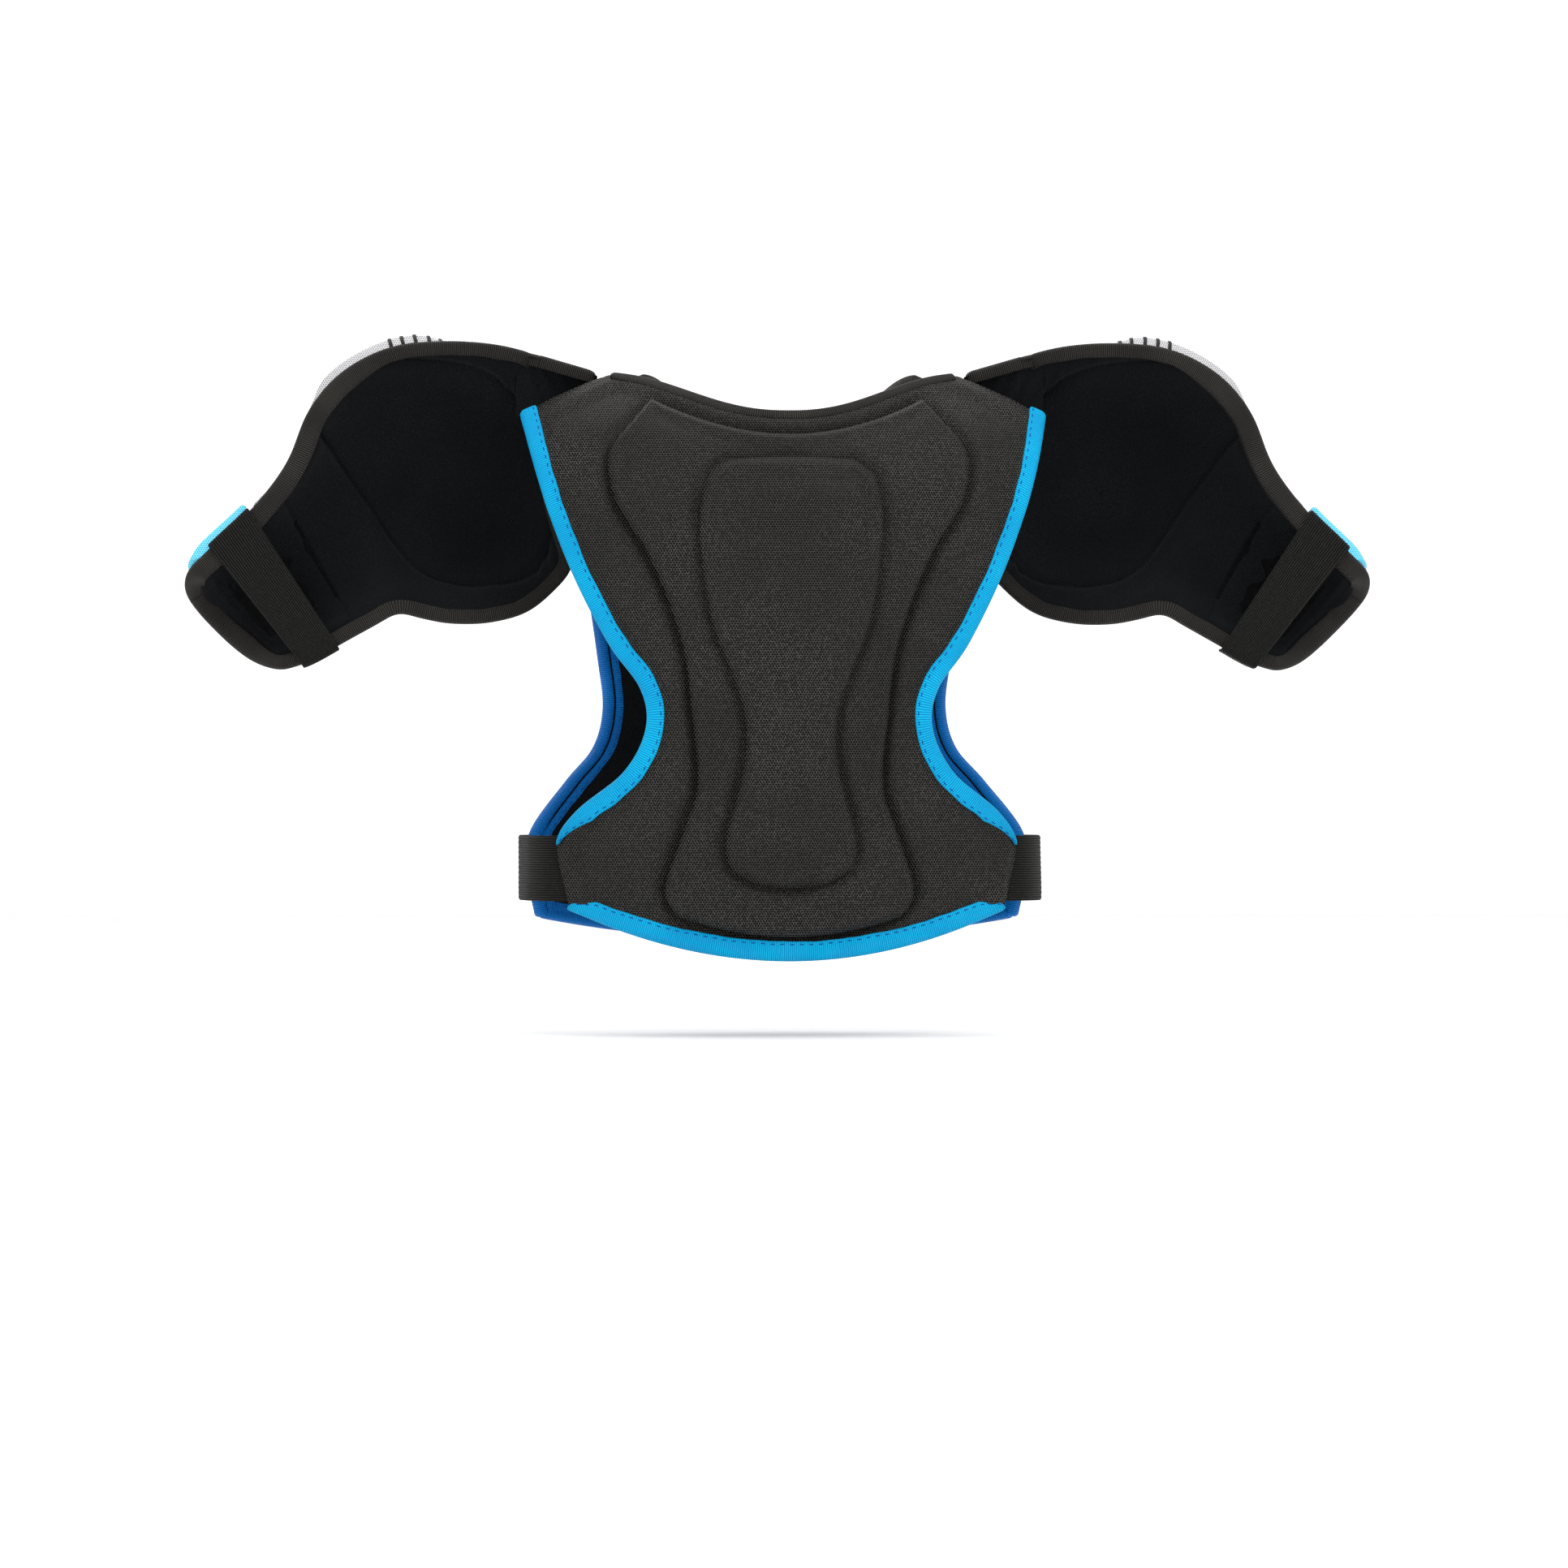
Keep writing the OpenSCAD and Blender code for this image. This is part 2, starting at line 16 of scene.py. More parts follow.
import bpy
import numpy as np
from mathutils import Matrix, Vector

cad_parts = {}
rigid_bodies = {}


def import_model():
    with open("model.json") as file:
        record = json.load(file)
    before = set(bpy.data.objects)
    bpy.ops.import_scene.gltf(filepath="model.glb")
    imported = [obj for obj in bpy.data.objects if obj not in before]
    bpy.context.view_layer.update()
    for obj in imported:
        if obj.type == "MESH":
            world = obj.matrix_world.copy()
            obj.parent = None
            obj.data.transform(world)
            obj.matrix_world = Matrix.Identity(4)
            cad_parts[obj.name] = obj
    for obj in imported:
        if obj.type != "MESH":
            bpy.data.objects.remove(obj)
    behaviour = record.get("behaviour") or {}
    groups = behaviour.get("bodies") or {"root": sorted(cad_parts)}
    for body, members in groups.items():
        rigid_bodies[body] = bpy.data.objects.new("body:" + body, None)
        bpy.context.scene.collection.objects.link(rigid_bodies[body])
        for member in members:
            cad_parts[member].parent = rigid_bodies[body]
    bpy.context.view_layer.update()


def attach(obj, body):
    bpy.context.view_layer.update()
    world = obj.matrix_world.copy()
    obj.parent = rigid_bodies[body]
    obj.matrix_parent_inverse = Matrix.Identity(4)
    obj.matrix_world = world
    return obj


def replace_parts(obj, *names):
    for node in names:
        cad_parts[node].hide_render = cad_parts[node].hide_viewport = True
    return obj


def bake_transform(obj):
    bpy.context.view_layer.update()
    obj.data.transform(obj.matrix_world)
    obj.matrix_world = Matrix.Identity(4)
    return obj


log = logging.getLogger("shoulder_pads")
MM = 0.001
Array = np.ndarray
Color = tuple[float, float, float]
Socket = bpy.types.NodeSocket
Piece = bpy.types.Object
CLOTH_FEEL = {
    "quality": 4,
    "mass": 0.3,
    "tension_stiffness": 18,
    "compression_stiffness": 18,
    "shear_stiffness": 8,
    "bending_stiffness": 2.5,
}


class Side(Enum):
    """The wearer's side that a piece is on, as the sign of its X."""

    LEFT = 1
    RIGHT = -1

    @property
    def word(self) -> str:
        """Give the side as the CAD names spell it."""
        return self.name.lower()


class Weave(Enum):
    """Which coordinates a cloth's pattern follows."""

    PLANE = "Object"
    TAPE = "UV"


# --- curves and surfaces ---


def spline(rows: Array, t: Array) -> Array:
    """Follow a smooth curve through rows of numbers.

    Args:
        rows: The rows, one for each whole value of t.
        t: Where to read the curve, from 0 to the last row's number.

    Returns:
        One row for each value of t.
    """
    rows = np.asarray(rows, float)
    t = np.asarray(t, float)
    last = len(rows) - 1
    i = np.clip(np.floor(t).astype(int), 0, last - 1)
    f = (t - i)[..., None]
    a, b = rows[np.maximum(i - 1, 0)], rows[i]
    c, d = rows[i + 1], rows[np.minimum(i + 2, last)]
    return 0.5 * (
        2 * b + (c - a) * f + (2 * a - 5 * b + 4 * c - d) * f**2 + (3 * b - a - 3 * c + d) * f**3
    )


def unit(v: Array) -> Array:
    """Scale vectors to length one."""
    return v / np.maximum(np.linalg.norm(v, axis=-1, keepdims=True), 1e-12)


def ease(x: Array, start: float, end: float) -> Array:
    """Rise smoothly from 0 at start to 1 at end."""
    t = np.clip((np.asarray(x, float) - start) / (end - start), 0, 1)
    return t * t * (3 - 2 * t)


def ridge(x: Array, width: float) -> Array:
    """Give a rounded ridge of height one at 0."""
    return np.exp(-((np.asarray(x, float) / width) ** 2))


def dome(x: Array, radius: float) -> Array:
    """Give a quarter-round edge: 0 at the rim, 1 from the radius inwards."""
    t = 1 - np.clip(np.asarray(x, float) / radius, 0, 1)
    return np.sqrt(np.maximum(1 - t * t, 0))


def wave_noise(x: Array, y: Array, length: float, seed: int) -> Array:
    """Give a smooth, repeatable unevenness between about -1 and 1.

    Args:
        x: One coordinate.
        y: The other coordinate.
        length: The wavelength, in the coordinates' unit.
        seed: Which pattern.

    Returns:
        The unevenness at each point.
    """
    rng = np.random.default_rng(seed)
    total = np.zeros(np.broadcast(x, y).shape)
    for _ in range(7):
        angle, phase, k = rng.uniform(0, 2 * math.pi), rng.uniform(0, 2 * math.pi), rng.uniform(0.6, 1.7)
        total = total + np.sin(2 * math.pi * k * (x * math.cos(angle) + y * math.sin(angle)) / length + phase)
    return total / 4


def signed_distance(x: Array, y: Array, outline: Array) -> Array:
    """Measure how far points are outside a closed outline.

    Args:
        x: First coordinates of the points.
        y: Second coordinates of the points.
        outline: The outline's corners, one row each.

    Returns:
        The distance to the outline, negative inside it.
    """
    points = np.stack([np.ravel(x), np.ravel(y)], -1)
    a, b = outline, np.roll(outline, -1, 0)
    best = np.full(len(points), np.inf)
    inside = np.zeros(len(points), bool)
    for p, q in zip(a, b):
        edge = q - p
        along = np.clip(((points - p) @ edge) / max(edge @ edge, 1e-12), 0, 1)
        best = np.minimum(best, np.linalg.norm(points - p - along[:, None] * edge, axis=1))
        crosses = (p[1] > points[:, 1]) != (q[1] > points[:, 1])
        rise = q[1] - p[1] if abs(q[1] - p[1]) > 1e-12 else 1e-12
        inside ^= crosses & (points[:, 0] < p[0] + (points[:, 1] - p[1]) * edge[0] / rise)
    return np.where(inside, -best, best).reshape(np.shape(x))


def crowded(count: int, power: float = 1.5) -> Array:
    """Give steps from -1 to 1 that lie closer together near both ends."""
    t = np.linspace(-1, 1, count)
    return np.sign(t) * (1 - (1 - np.abs(t)) ** power)


def shares(count: int, power: float = 1.5) -> Array:
    """Give steps from 0 to 1 that lie closer together near both ends."""
    return (crowded(count, power) + 1) / 2


def lattice(us: Array, vs: Array) -> tuple[Array, Array]:
    """Spread two rows of values over a grid."""
    return np.meshgrid(us, vs, indexing="ij")


def together(u: Array, v: Array) -> tuple[Array, Array]:
    """Give two sets of numbers the same shape."""
    return np.broadcast_arrays(np.asarray(u, float), np.asarray(v, float))


def run_along(points: Array) -> Array:
    """Give the distance along a path at each of its points."""
    return np.concatenate([[0], np.cumsum(np.linalg.norm(np.diff(points, axis=0), axis=1))])


@dataclass(frozen=True)
class Form:
    """A curved face: u runs along it, v across it."""

    out: tuple[float, float, float] = (0, 1, 0)

    def point(self, u: Array, v: Array) -> Array:
        """Give the face's points at u and v."""
        raise NotImplementedError

    def normal(self, u: Array, v: Array) -> Array:
        """Give the outward normals at u and v."""
        e = 0.004
        along = self.point(u + e, v) - self.point(u - e, v)
        across = self.point(u, v + e) - self.point(u, v - e)
        n = unit(np.cross(along, across))
        return n * np.where(n @ np.array(self.out, float) >= 0, 1, -1)[..., None]

    def raised(self, u: Array, v: Array, height: Array | float) -> Array:
        """Give points at a height over the face."""
        u, v = together(u, v)
        return self.point(u, v) + self.normal(u, v) * np.broadcast_to(height, u.shape)[..., None]

    def ring(self, count: int) -> Array:
        """Go round the face's four edges, and give the points' X and Z."""
        t, ones = np.linspace(0, 1, count), np.ones(count)
        edges = ((t, ones), (ones, 1 - 2 * t), (1 - t, -ones), (np.zeros(count), 2 * t - 1))
        return np.concatenate([self.point(u, v) for u, v in edges])[:, [0, 2]]


@dataclass(frozen=True)
class TorsoForm(Form):
    """The inner face of the back panel or the chest panel."""

    edge: tuple[tuple[float, float], ...] = ()
    depth: float = 84
    hem_drop: float = 31
    neck_drop: float = 0
    inset: float = 0
    neck_rise: float = 24
    neck_share: float = 0.6

    def face_y(self, x: Array, z: Array) -> Array:
        """Give the Y of the face at a place seen from behind."""
        y = (
            self.depth
            - 60 * (np.maximum(0, z + 76) / 80) ** 2
            - 10 * (np.maximum(0, -76 - z) / 280) ** 2
            - 0.0018 * x**2
        )
        return y * self.out[1]

    def top_rise(self, v: Array) -> Array:
        """Give the top edge's height over the shoulder points."""
        a = np.abs(v)
        s = self.neck_share
        neck = (self.neck_rise - self.neck_drop) * np.sin(np.pi / 2 * np.minimum(a / s, 1)) ** 2.4
        return np.where(a > s, self.neck_rise * (1 - a) / (1 - s), neck + self.neck_drop)

    def point(self, u: Array, v: Array) -> Array:
        """Give the face's points: u from the hem to the top, v from one side to the other."""
        u, v = together(u, v)
        rows = len(self.edge) - 1
        e = spline(self.edge, u * rows)
        along = unit(spline(self.edge, u * rows + 0.02) - spline(self.edge, u * rows - 0.02))
        low = np.maximum(0, 1 - u / 0.35) ** 2
        high = np.maximum(0, (u - 0.5) / 0.5) ** 2
        x = v * (e[..., 0] - self.inset * along[..., 1])
        z = (
            e[..., 1]
            + self.inset * along[..., 0] * v**6
            + low * (self.inset - self.hem_drop * (1 - v**2))
            + high * (self.top_rise(v) - self.inset)
        )
        return np.stack([x, self.face_y(x, z), z], -1)

    def outline(self) -> Array:
        """Give the panel's outline seen from behind, as X and Z."""
        return self.ring(60)


@dataclass(frozen=True)
class PadForm(Form):
    """A raised pad's footprint on a torso face."""

    face: TorsoForm = TorsoForm()
    edge: tuple[tuple[float, float], ...] = ()
    centre_x: float = 0
    bottom_drop: float = 0
    top_drop: float = 0

    def point(self, u: Array, v: Array) -> Array:
        """Give the pad's points: u from bottom to top, v from side to side."""
        u, v = together(u, v)
        e = spline(self.edge, u * (len(self.edge) - 1))
        x = self.centre_x + v * e[..., 0]
        drop = (
            self.bottom_drop * np.maximum(0, 1 - u / 0.3) ** 2
            + self.top_drop * np.maximum(0, (u - 0.6) / 0.4) ** 2
        )
        z = e[..., 1] - drop * (1 - v**2)
        return np.stack([x, self.face.face_y(x, z), z], -1)

    def outline(self) -> Array:
        """Give the pad's outline seen from behind, as X and Z."""
        return self.ring(50)


ARM_RIBS = (
    (146, -6, 18, 124, -12, -110, 26, 6),
    (175, 0, 25, 152, -6, -137, 44, 0),
    (208, 3, 27, 178, -2, -146, 54, 0),
    (242, 4, 23, 203, 0, -147, 56, 0),
    (272, 4, 7, 221, 2, -144, 50, 0),
    (292, 3, -17, 236, 2, -141, 42, 0),
    (304, 2, -47, 250, 0, -148, 36, 0),
    (324, 0, -74, 270, -2, -159, 32, 0),
    (348, -3, -97, 292, -4, -171, 30, 0),
    (371, -6, -119, 313, -6, -177, 28, 7),
)
ARM_AXIS = np.array([0.923, 0, -0.385])


@dataclass(frozen=True)
class ArmForm(Form):
    """The inner face of an arm guard: u from shoulder to elbow, v from the upper edge to the lower."""

    out: tuple[float, float, float] = (0, -1, 0)
    inset: float = 0

    def point(self, u: Array, v: Array) -> Array:
        """Give the face's points at u and v."""
        u, v = together(u, v)
        r = spline(ARM_RIBS, u)
        upper, lower = r[..., 0:3], r[..., 3:6]
        side = self.inset / np.linalg.norm(upper - lower, axis=-1)
        w = side + v * (1 - 2 * side)
        belly = 1 - np.abs(2 * w - 1) ** 2.6
        p = upper + (lower - upper) * w[..., None] + ARM_AXIS * (r[..., 7] * belly)[..., None]
        p[..., 1] -= r[..., 6] * belly
        return p


# --- meshes ---


def new_piece(
    name: str, points: Array, faces: list[tuple[int, ...]], uvs: Array | None = None
) -> Piece:
    """Make a smooth mesh object from millimetre points.

    Args:
        name: The piece's name.
        points: The vertices, in millimetres.
        faces: The faces, turned the right way out.
        uvs: Two tape coordinates for each vertex, in metres.

    Returns:
        The new object, at the origin.
    """
    mesh = bpy.data.meshes.new(name)
    mesh.from_pydata((points * MM).tolist(), [], faces)
    mesh.update()
    if uvs is not None:
        loops = np.empty(len(mesh.loops), np.int32)
        mesh.loops.foreach_get("vertex_index", loops)
        layer = mesh.uv_layers.new(name="Cloth")
        layer.data.foreach_set("uv", (uvs[loops]).astype(np.float32).ravel())
    mesh.polygons.foreach_set("use_smooth", [True] * len(mesh.polygons))
    obj = bpy.data.objects.new(name, mesh)
    bpy.context.scene.collection.objects.link(obj)
    return obj


def volume_of(points: Array, corners: Array) -> float:
    """Give six times the volume that triangles enclose."""
    a, b, c = (points[corners[:, k]] for k in range(3))
    return np.einsum("ij,ij->i", a, np.cross(b, c)).sum()


def turned_out(points: Array, faces: list[tuple[int, ...]]) -> list[tuple[int, ...]]:
    """Turn a closed mesh's faces so that its volume is positive."""
    total = volume_of(points, np.array([f[:3] for f in faces]))
    quads = np.array([(f[0], f[2], f[3]) for f in faces if len(f) == 4])
    if len(quads):
        total += volume_of(points, quads)
    return faces if total > 0 else [tuple(reversed(f)) for f in faces]


def shell(name: str, inner: Array, outer: Array, mirror: bool = False) -> Piece:
    """Close two grids of points into one padded shell.

    Args:
        name: The piece's name.
        inner: The inner face's grid of points, in millimetres.
        outer: The outer face's grid, of the same size.
        mirror: Whether to mirror it to the wearer's right.

    Returns:
        The new object.
    """
    nu, nv = outer.shape[:2]
    points = np.concatenate([inner.reshape(-1, 3), outer.reshape(-1, 3)])
    if mirror:
        points = points * [-1, 1, 1]
    size = nu * nv
    index = np.arange(size).reshape(nu, nv)
    a, b, c, d = index[:-1, :-1], index[1:, :-1], index[1:, 1:], index[:-1, 1:]
    low = np.stack([a, b, c, d], -1).reshape(-1, 4)
    high = np.stack([a, d, c, b], -1).reshape(-1, 4) + size
    ring = np.concatenate([index[0, :-1], index[:-1, -1], index[-1, :0:-1], index[:0:-1, 0]])
    nxt = np.roll(ring, -1)
    wall = np.stack([ring, nxt, nxt + size, ring + size], -1)
    faces = [tuple(f) for f in np.concatenate([low, high, wall]).tolist()]
    along = np.linalg.norm(np.diff(outer, axis=0), axis=2).mean(1)
    across = np.linalg.norm(np.diff(outer, axis=1), axis=2).mean(0)
    su, sv = np.concatenate([[0], np.cumsum(along)]), np.concatenate([[0], np.cumsum(across)])
    uv = np.stack(lattice(su, sv), -1).reshape(-1, 2) * MM
    return new_piece(name, points, turned_out(points, faces), np.concatenate([uv, uv]))


def sweep(
    name: str,
    centres: Array,
    across: Array,
    normals: Array,
    profile: Array,
    closed: bool = False,
    mirror: bool = False,
    taper: tuple[float, float] = (1.0, 1.0),
    taper_run: float = 2.5,
) -> Piece:
    """Draw a closed profile along a path.

    Args:
        name: The piece's name.
        centres: The path's points, in millimetres.
        across: The profile's first direction at each point.
        normals: The profile's second direction at each point.
        profile: The profile's points, or one profile for each point of the path.
        closed: Whether the path closes on itself.
        mirror: Whether to mirror it to the wearer's right.
        taper: How much of the profile is left at the start and at the end.
        taper_run: How long each taper is, in millimetres.

    Returns:
        The new object.
    """
    n = len(centres)
    profiles = np.broadcast_to(profile, (n, *np.shape(profile)[-2:])).copy()
    if min(taper) < 1:
        run = run_along(centres)
        scale = (taper[0] + (1 - taper[0]) * dome(run, taper_run)) * (
            taper[1] + (1 - taper[1]) * dome(run[-1] - run, min(taper_run, 3))
        )
        middle = profiles.mean(1, keepdims=True)
        profiles = middle + (profiles - middle) * scale[:, None, None]
    m = profiles.shape[1]
    points = (
        centres[:, None]
        + across[:, None] * profiles[..., :1]
        + normals[:, None] * profiles[..., 1:2]
    ).reshape(-1, 3)
    if mirror:
        points = points * [-1, 1, 1]
    index = np.arange(n * m).reshape(n, m)
    this, nxt = (index, np.roll(index, -1, 0)) if closed else (index[:-1], index[1:])
    skin = np.stack([this, np.roll(this, -1, 1), np.roll(nxt, -1, 1), nxt], -1).reshape(-1, 4)
    faces = [tuple(f) for f in skin.tolist()]
    if not closed:
        faces += [tuple(index[0, ::-1].tolist()), tuple(index[-1].tolist())]
    run = run_along(centres)
    around = run_along(profiles[n // 2])
    uv = np.stack(lattice(run, around), -1).reshape(-1, 2) * MM
    return new_piece(name, points, turned_out(points, faces), uv)


def stitches(
    name: str, path: Array, up: Array, length: float, gap: float, width: float, mirror: bool = False
) -> Piece:
    """Sew a row of short threads along a path.

    Args:
        name: The piece's name.
        path: The row's points, in millimetres.
        up: The direction out of the cloth at each point.
        length: Each stitch's length.
        gap: The space between two stitches.
        width: The thread's width.
        mirror: Whether to mirror it to the wearer's right.

    Returns:
        The new object.
    """
    run = run_along(path)
    starts = np.arange(gap, run[-1] - length, length + gap)
    points: list[Array] = []
    faces: list[tuple[int, ...]] = []
    ring = np.linspace(0, 2 * math.pi, 6, endpoint=False)
    for s in starts:
        at = s + length * np.array([0, 0.18, 0.5, 0.82, 1])
        size = np.array([0.25, 0.85, 1, 0.85, 0.25]) * width / 2
        centre = np.stack([np.interp(at, run, path[:, k]) for k in range(3)], -1)
        out = unit(np.stack([np.interp(at, run, up[:, k]) for k in range(3)], -1))
        along = unit(centre[-1] - centre[0])
        base = len(points) * 30
        cross = unit(np.cross(along, out))
        loops = [
            centre[j] + size[j] * (np.cos(ring)[:, None] * cross[j] + np.sin(ring)[:, None] * out[j] * 0.8)
            for j in range(5)
        ]
        points.append(np.concatenate(loops))
        for j in range(4):
            for k in range(6):
                m = (k + 1) % 6
                faces.append((base + j * 6 + k, base + j * 6 + m, base + j * 6 + 6 + m, base + j * 6 + 6 + k))
        faces += [tuple(base + k for k in range(5, -1, -1)), tuple(base + 24 + k for k in range(6))]
    cloud = np.concatenate(points)
    if mirror:
        cloud = cloud * [-1, 1, 1]
    return new_piece(name, cloud, turned_out(cloud, faces))


def edge_frame(form: Form, us: Array, vs: Array, inwards: Array) -> tuple[Array, Array, Array]:
    """Find the directions that a tape needs along the edge of a face.

    Args:
        form: The face.
        us: The edge's u values.
        vs: The edge's v values.
        inwards: A point on the inner side of the edge, for each point.

    Returns:
        The points, the directions into the face, and the normals.
    """
    points = form.point(us, vs)
    normals = form.normal(us, vs)
    along = unit(np.gradient(points, axis=0))
    into = unit(np.cross(normals, along))
    into = into * np.where(np.einsum("ij,ij->i", into, inwards - points) >= 0, 1, -1)[:, None]
    return points, into, normals


def tape_profile(width: float, face: float, cloth: float = 0.9, lobes: float = 0) -> Array:
    """Give the section of a tape folded over an edge.

    Args:
        width: How far the tape reaches in from the edge.
        face: The thickness of what it binds.
        cloth: How far the tape stands proud.
        lobes: How deep the furrow along its middle is.

    Returns:
        The section's points: distance in from the edge, and height over the inner face.
    """
    top, low, mid = face + cloth, -cloth, face / 2
    shares = np.array([1, 0.96, 0.88, 0.74, 0.62, 0.54, 0.46, 0.36, 0.24, 0.14, 0.05])
    drop = np.array([0.45, 0.05, 0.0, -0.25, -0.3, -0.3, -0.3, -0.3, -0.1, 0.5, 1.7])
    furrow = lobes * np.exp(-(((shares - 0.5) / 0.1) ** 2))
    upper = np.stack([shares * width, top - drop - furrow], -1)
    lower = np.stack([shares[::-1] * width, low + drop[::-1] + furrow[::-1]], -1)
    nose = np.array([(0.0, mid + 0.6), (0.0, mid - 0.6)])
    tuck = np.array([(width, 1.2), (width * 0.8, mid), (width, face - 1.2)])
    return np.concatenate([upper, nose, lower, tuck])


def inflated(obj: Piece, held: Array, pressure: float, limit: float, frames: int = 14) -> None:
    """Swell a closed pad with cloth simulation and keep the result.

    Args:
        obj: The pad.
        held: Which vertices are sewn down.
        pressure: The air pressure inside.
        limit: How far a vertex may move, in millimetres.
        frames: How many steps to run.
    """
    before = np.empty(len(obj.data.vertices) * 3, np.float32)
    obj.data.vertices.foreach_get("co", before)
    before = before.reshape(-1, 3)
    group = obj.vertex_groups.new(name="sewn")
    group.add(np.nonzero(held)[0].tolist(), 1.0, "REPLACE")
    cloth = obj.modifiers.new("swell", "CLOTH")
    for key, value in CLOTH_FEEL.items():
        setattr(cloth.settings, key, value)
    cloth.settings.use_pressure = True
    cloth.settings.uniform_pressure_force = pressure
    cloth.settings.vertex_group_mass = "sewn"
    cloth.settings.effector_weights.gravity = 0
    cloth.collision_settings.use_collision = False
    cloth.point_cache.frame_start, cloth.point_cache.frame_end = 1, frames
    scene = bpy.context.scene
    for frame in range(1, frames + 1):
        scene.frame_set(frame)
    swollen = obj.evaluated_get(bpy.context.evaluated_depsgraph_get())
    after = np.empty_like(before).ravel()
    swollen.data.vertices.foreach_get("co", after)
    after = after.reshape(-1, 3)
    obj.modifiers.remove(cloth)
    obj.vertex_groups.remove(group)
    scene.frame_set(1)
    move = np.nan_to_num(after - before)
    far = np.linalg.norm(move, axis=1, keepdims=True)
    move *= limit * MM * np.tanh(far / (limit * MM)) / np.maximum(far, 1e-9)
    obj.data.vertices.foreach_set("co", (before + move).ravel())
    obj.data.update()


# --- finishes ---


class Graph:
    """A material's nodes, wired by short calls."""

    def __init__(self, name: str, color: Color, roughness: float) -> None:
        """Start a material with one shader.

        Args:
            name: The material's name.
            color: The shader's own colour.
            roughness: The shader's own roughness.
        """
        self.material = bpy.data.materials.new(name)
        self.material.use_nodes = True
        self.tree = self.material.node_tree
        self.tree.nodes.clear()
        out = self.tree.nodes.new("ShaderNodeOutputMaterial")
        self.shader = self.tree.nodes.new("ShaderNodeBsdfPrincipled")
        self.shader.inputs["Base Color"].default_value = (*color, 1)
        self.shader.inputs["Roughness"].default_value = roughness
        self.tree.links.new(self.shader.outputs[0], out.inputs["Surface"])

    def gloss(self, level: float) -> None:
        """Set how strongly the surface shines."""
        self.shader.inputs["Specular IOR Level"].default_value = level

    def sheen(self, weight: float, roughness: float, tint: Color) -> None:
        """Give the cloth a fibre sheen."""
        self.shader.inputs["Sheen Weight"].default_value = weight
        self.shader.inputs["Sheen Roughness"].default_value = roughness
        self.shader.inputs["Sheen Tint"].default_value = (*tint, 1)

    def put(self, socket: Socket, value: Socket | float | tuple) -> None:
        """Link a socket, or set its number."""
        if isinstance(value, Socket):
            self.tree.links.new(value, socket)
        else:
            socket.default_value = value

    def coords(self, weave: Weave) -> Socket:
        """Give the coordinates that a pattern follows."""
        return self.tree.nodes.new("ShaderNodeTexCoord").outputs[weave.value]

    def split(self, vector: Socket) -> list[Socket]:
        """Split a vector into its three numbers."""
        node = self.tree.nodes.new("ShaderNodeSeparateXYZ")
        self.put(node.inputs[0], vector)
        return list(node.outputs)

    def calc(self, operation: str, *values: Socket | float) -> Socket:
        """Work out one number from others."""
        node = self.tree.nodes.new("ShaderNodeMath")
        node.operation = operation
        for socket, value in zip(node.inputs, values):
            self.put(socket, value)
        return node.outputs[0]

    def noise(self, vector: Socket, scale: float, detail: float = 2) -> Socket:
        """Give an uneven number between 0 and 1."""
        node = self.tree.nodes.new("ShaderNodeTexNoise")
        self.put(node.inputs["Vector"], vector)
        node.inputs["Scale"].default_value = scale
        node.inputs["Detail"].default_value = detail
        return node.outputs[0]

    def span(
        self, value: Socket, low: float, high: float, to_low: float = 0, to_high: float = 1
    ) -> Socket:
        """Map a number smoothly from one span to another."""
        node = self.tree.nodes.new("ShaderNodeMapRange")
        node.interpolation_type = "SMOOTHSTEP"
        keys = ("From Min", "From Max", "To Min", "To Max")
        for key, number in zip(keys, (low, high, to_low, to_high)):
            node.inputs[key].default_value = number
        self.put(node.inputs["Value"], value)
        return node.outputs[0]

    def blend(self, amount: Socket, first: Color | Socket, second: Color | Socket) -> Socket:
        """Mix two colours by an amount."""
        node = self.tree.nodes.new("ShaderNodeMix")
        node.data_type = "RGBA"
        self.put(node.inputs[0], amount)
        for socket, color in ((node.inputs[6], first), (node.inputs[7], second)):
            self.put(socket, color if isinstance(color, Socket) else (*color, 1))
        return node.outputs[2]

    def ribs(self, value: Socket, pitch: float) -> Socket:
        """Give rounded ribs between 0 and 1, at a pitch in metres."""
        angle = self.calc("MULTIPLY", value, 2 * math.pi / pitch)
        return self.calc("MULTIPLY_ADD", self.calc("SINE", angle), 0.5, 0.5)

    def honeycomb(self, x: Socket, y: Socket, pitch: float) -> Socket:
        """Give a field that peaks at 1 in holes set like a honeycomb.

        Args:
            x: One coordinate in metres.
            y: The other coordinate.
            pitch: The distance between two holes, in metres.

        Returns:
            The field, from about -0.5 to 1.
        """
        k = 4 * math.pi / (math.sqrt(3) * pitch)
        a = self.calc("COSINE", self.calc("MULTIPLY", y, k))
        half = self.calc("MULTIPLY", y, k / 2)
        wide = self.calc("MULTIPLY", x, k * math.sqrt(3) / 2)
        b = self.calc("COSINE", self.calc("ADD", half, wide))
        c = self.calc("COSINE", self.calc("SUBTRACT", half, wide))
        return self.calc("DIVIDE", self.calc("ADD", self.calc("ADD", a, b), c), 3.0)

    def color(self, value: Socket) -> None:
        """Use a colour that varies over the cloth."""
        self.put(self.shader.inputs["Base Color"], value)

    def rough(self, value: Socket) -> None:
        """Use a roughness that varies over the cloth."""
        self.put(self.shader.inputs["Roughness"], value)

    def relief(self, height: Socket, depth: float, strength: float = 1.0) -> None:
        """Raise the surface by a height map, given its depth in metres."""
        node = self.tree.nodes.new("ShaderNodeBump")
        node.inputs["Strength"].default_value = strength
        node.inputs["Distance"].default_value = depth
        self.put(node.inputs["Height"], height)
        self.tree.links.new(node.outputs[0], self.shader.inputs["Normal"])


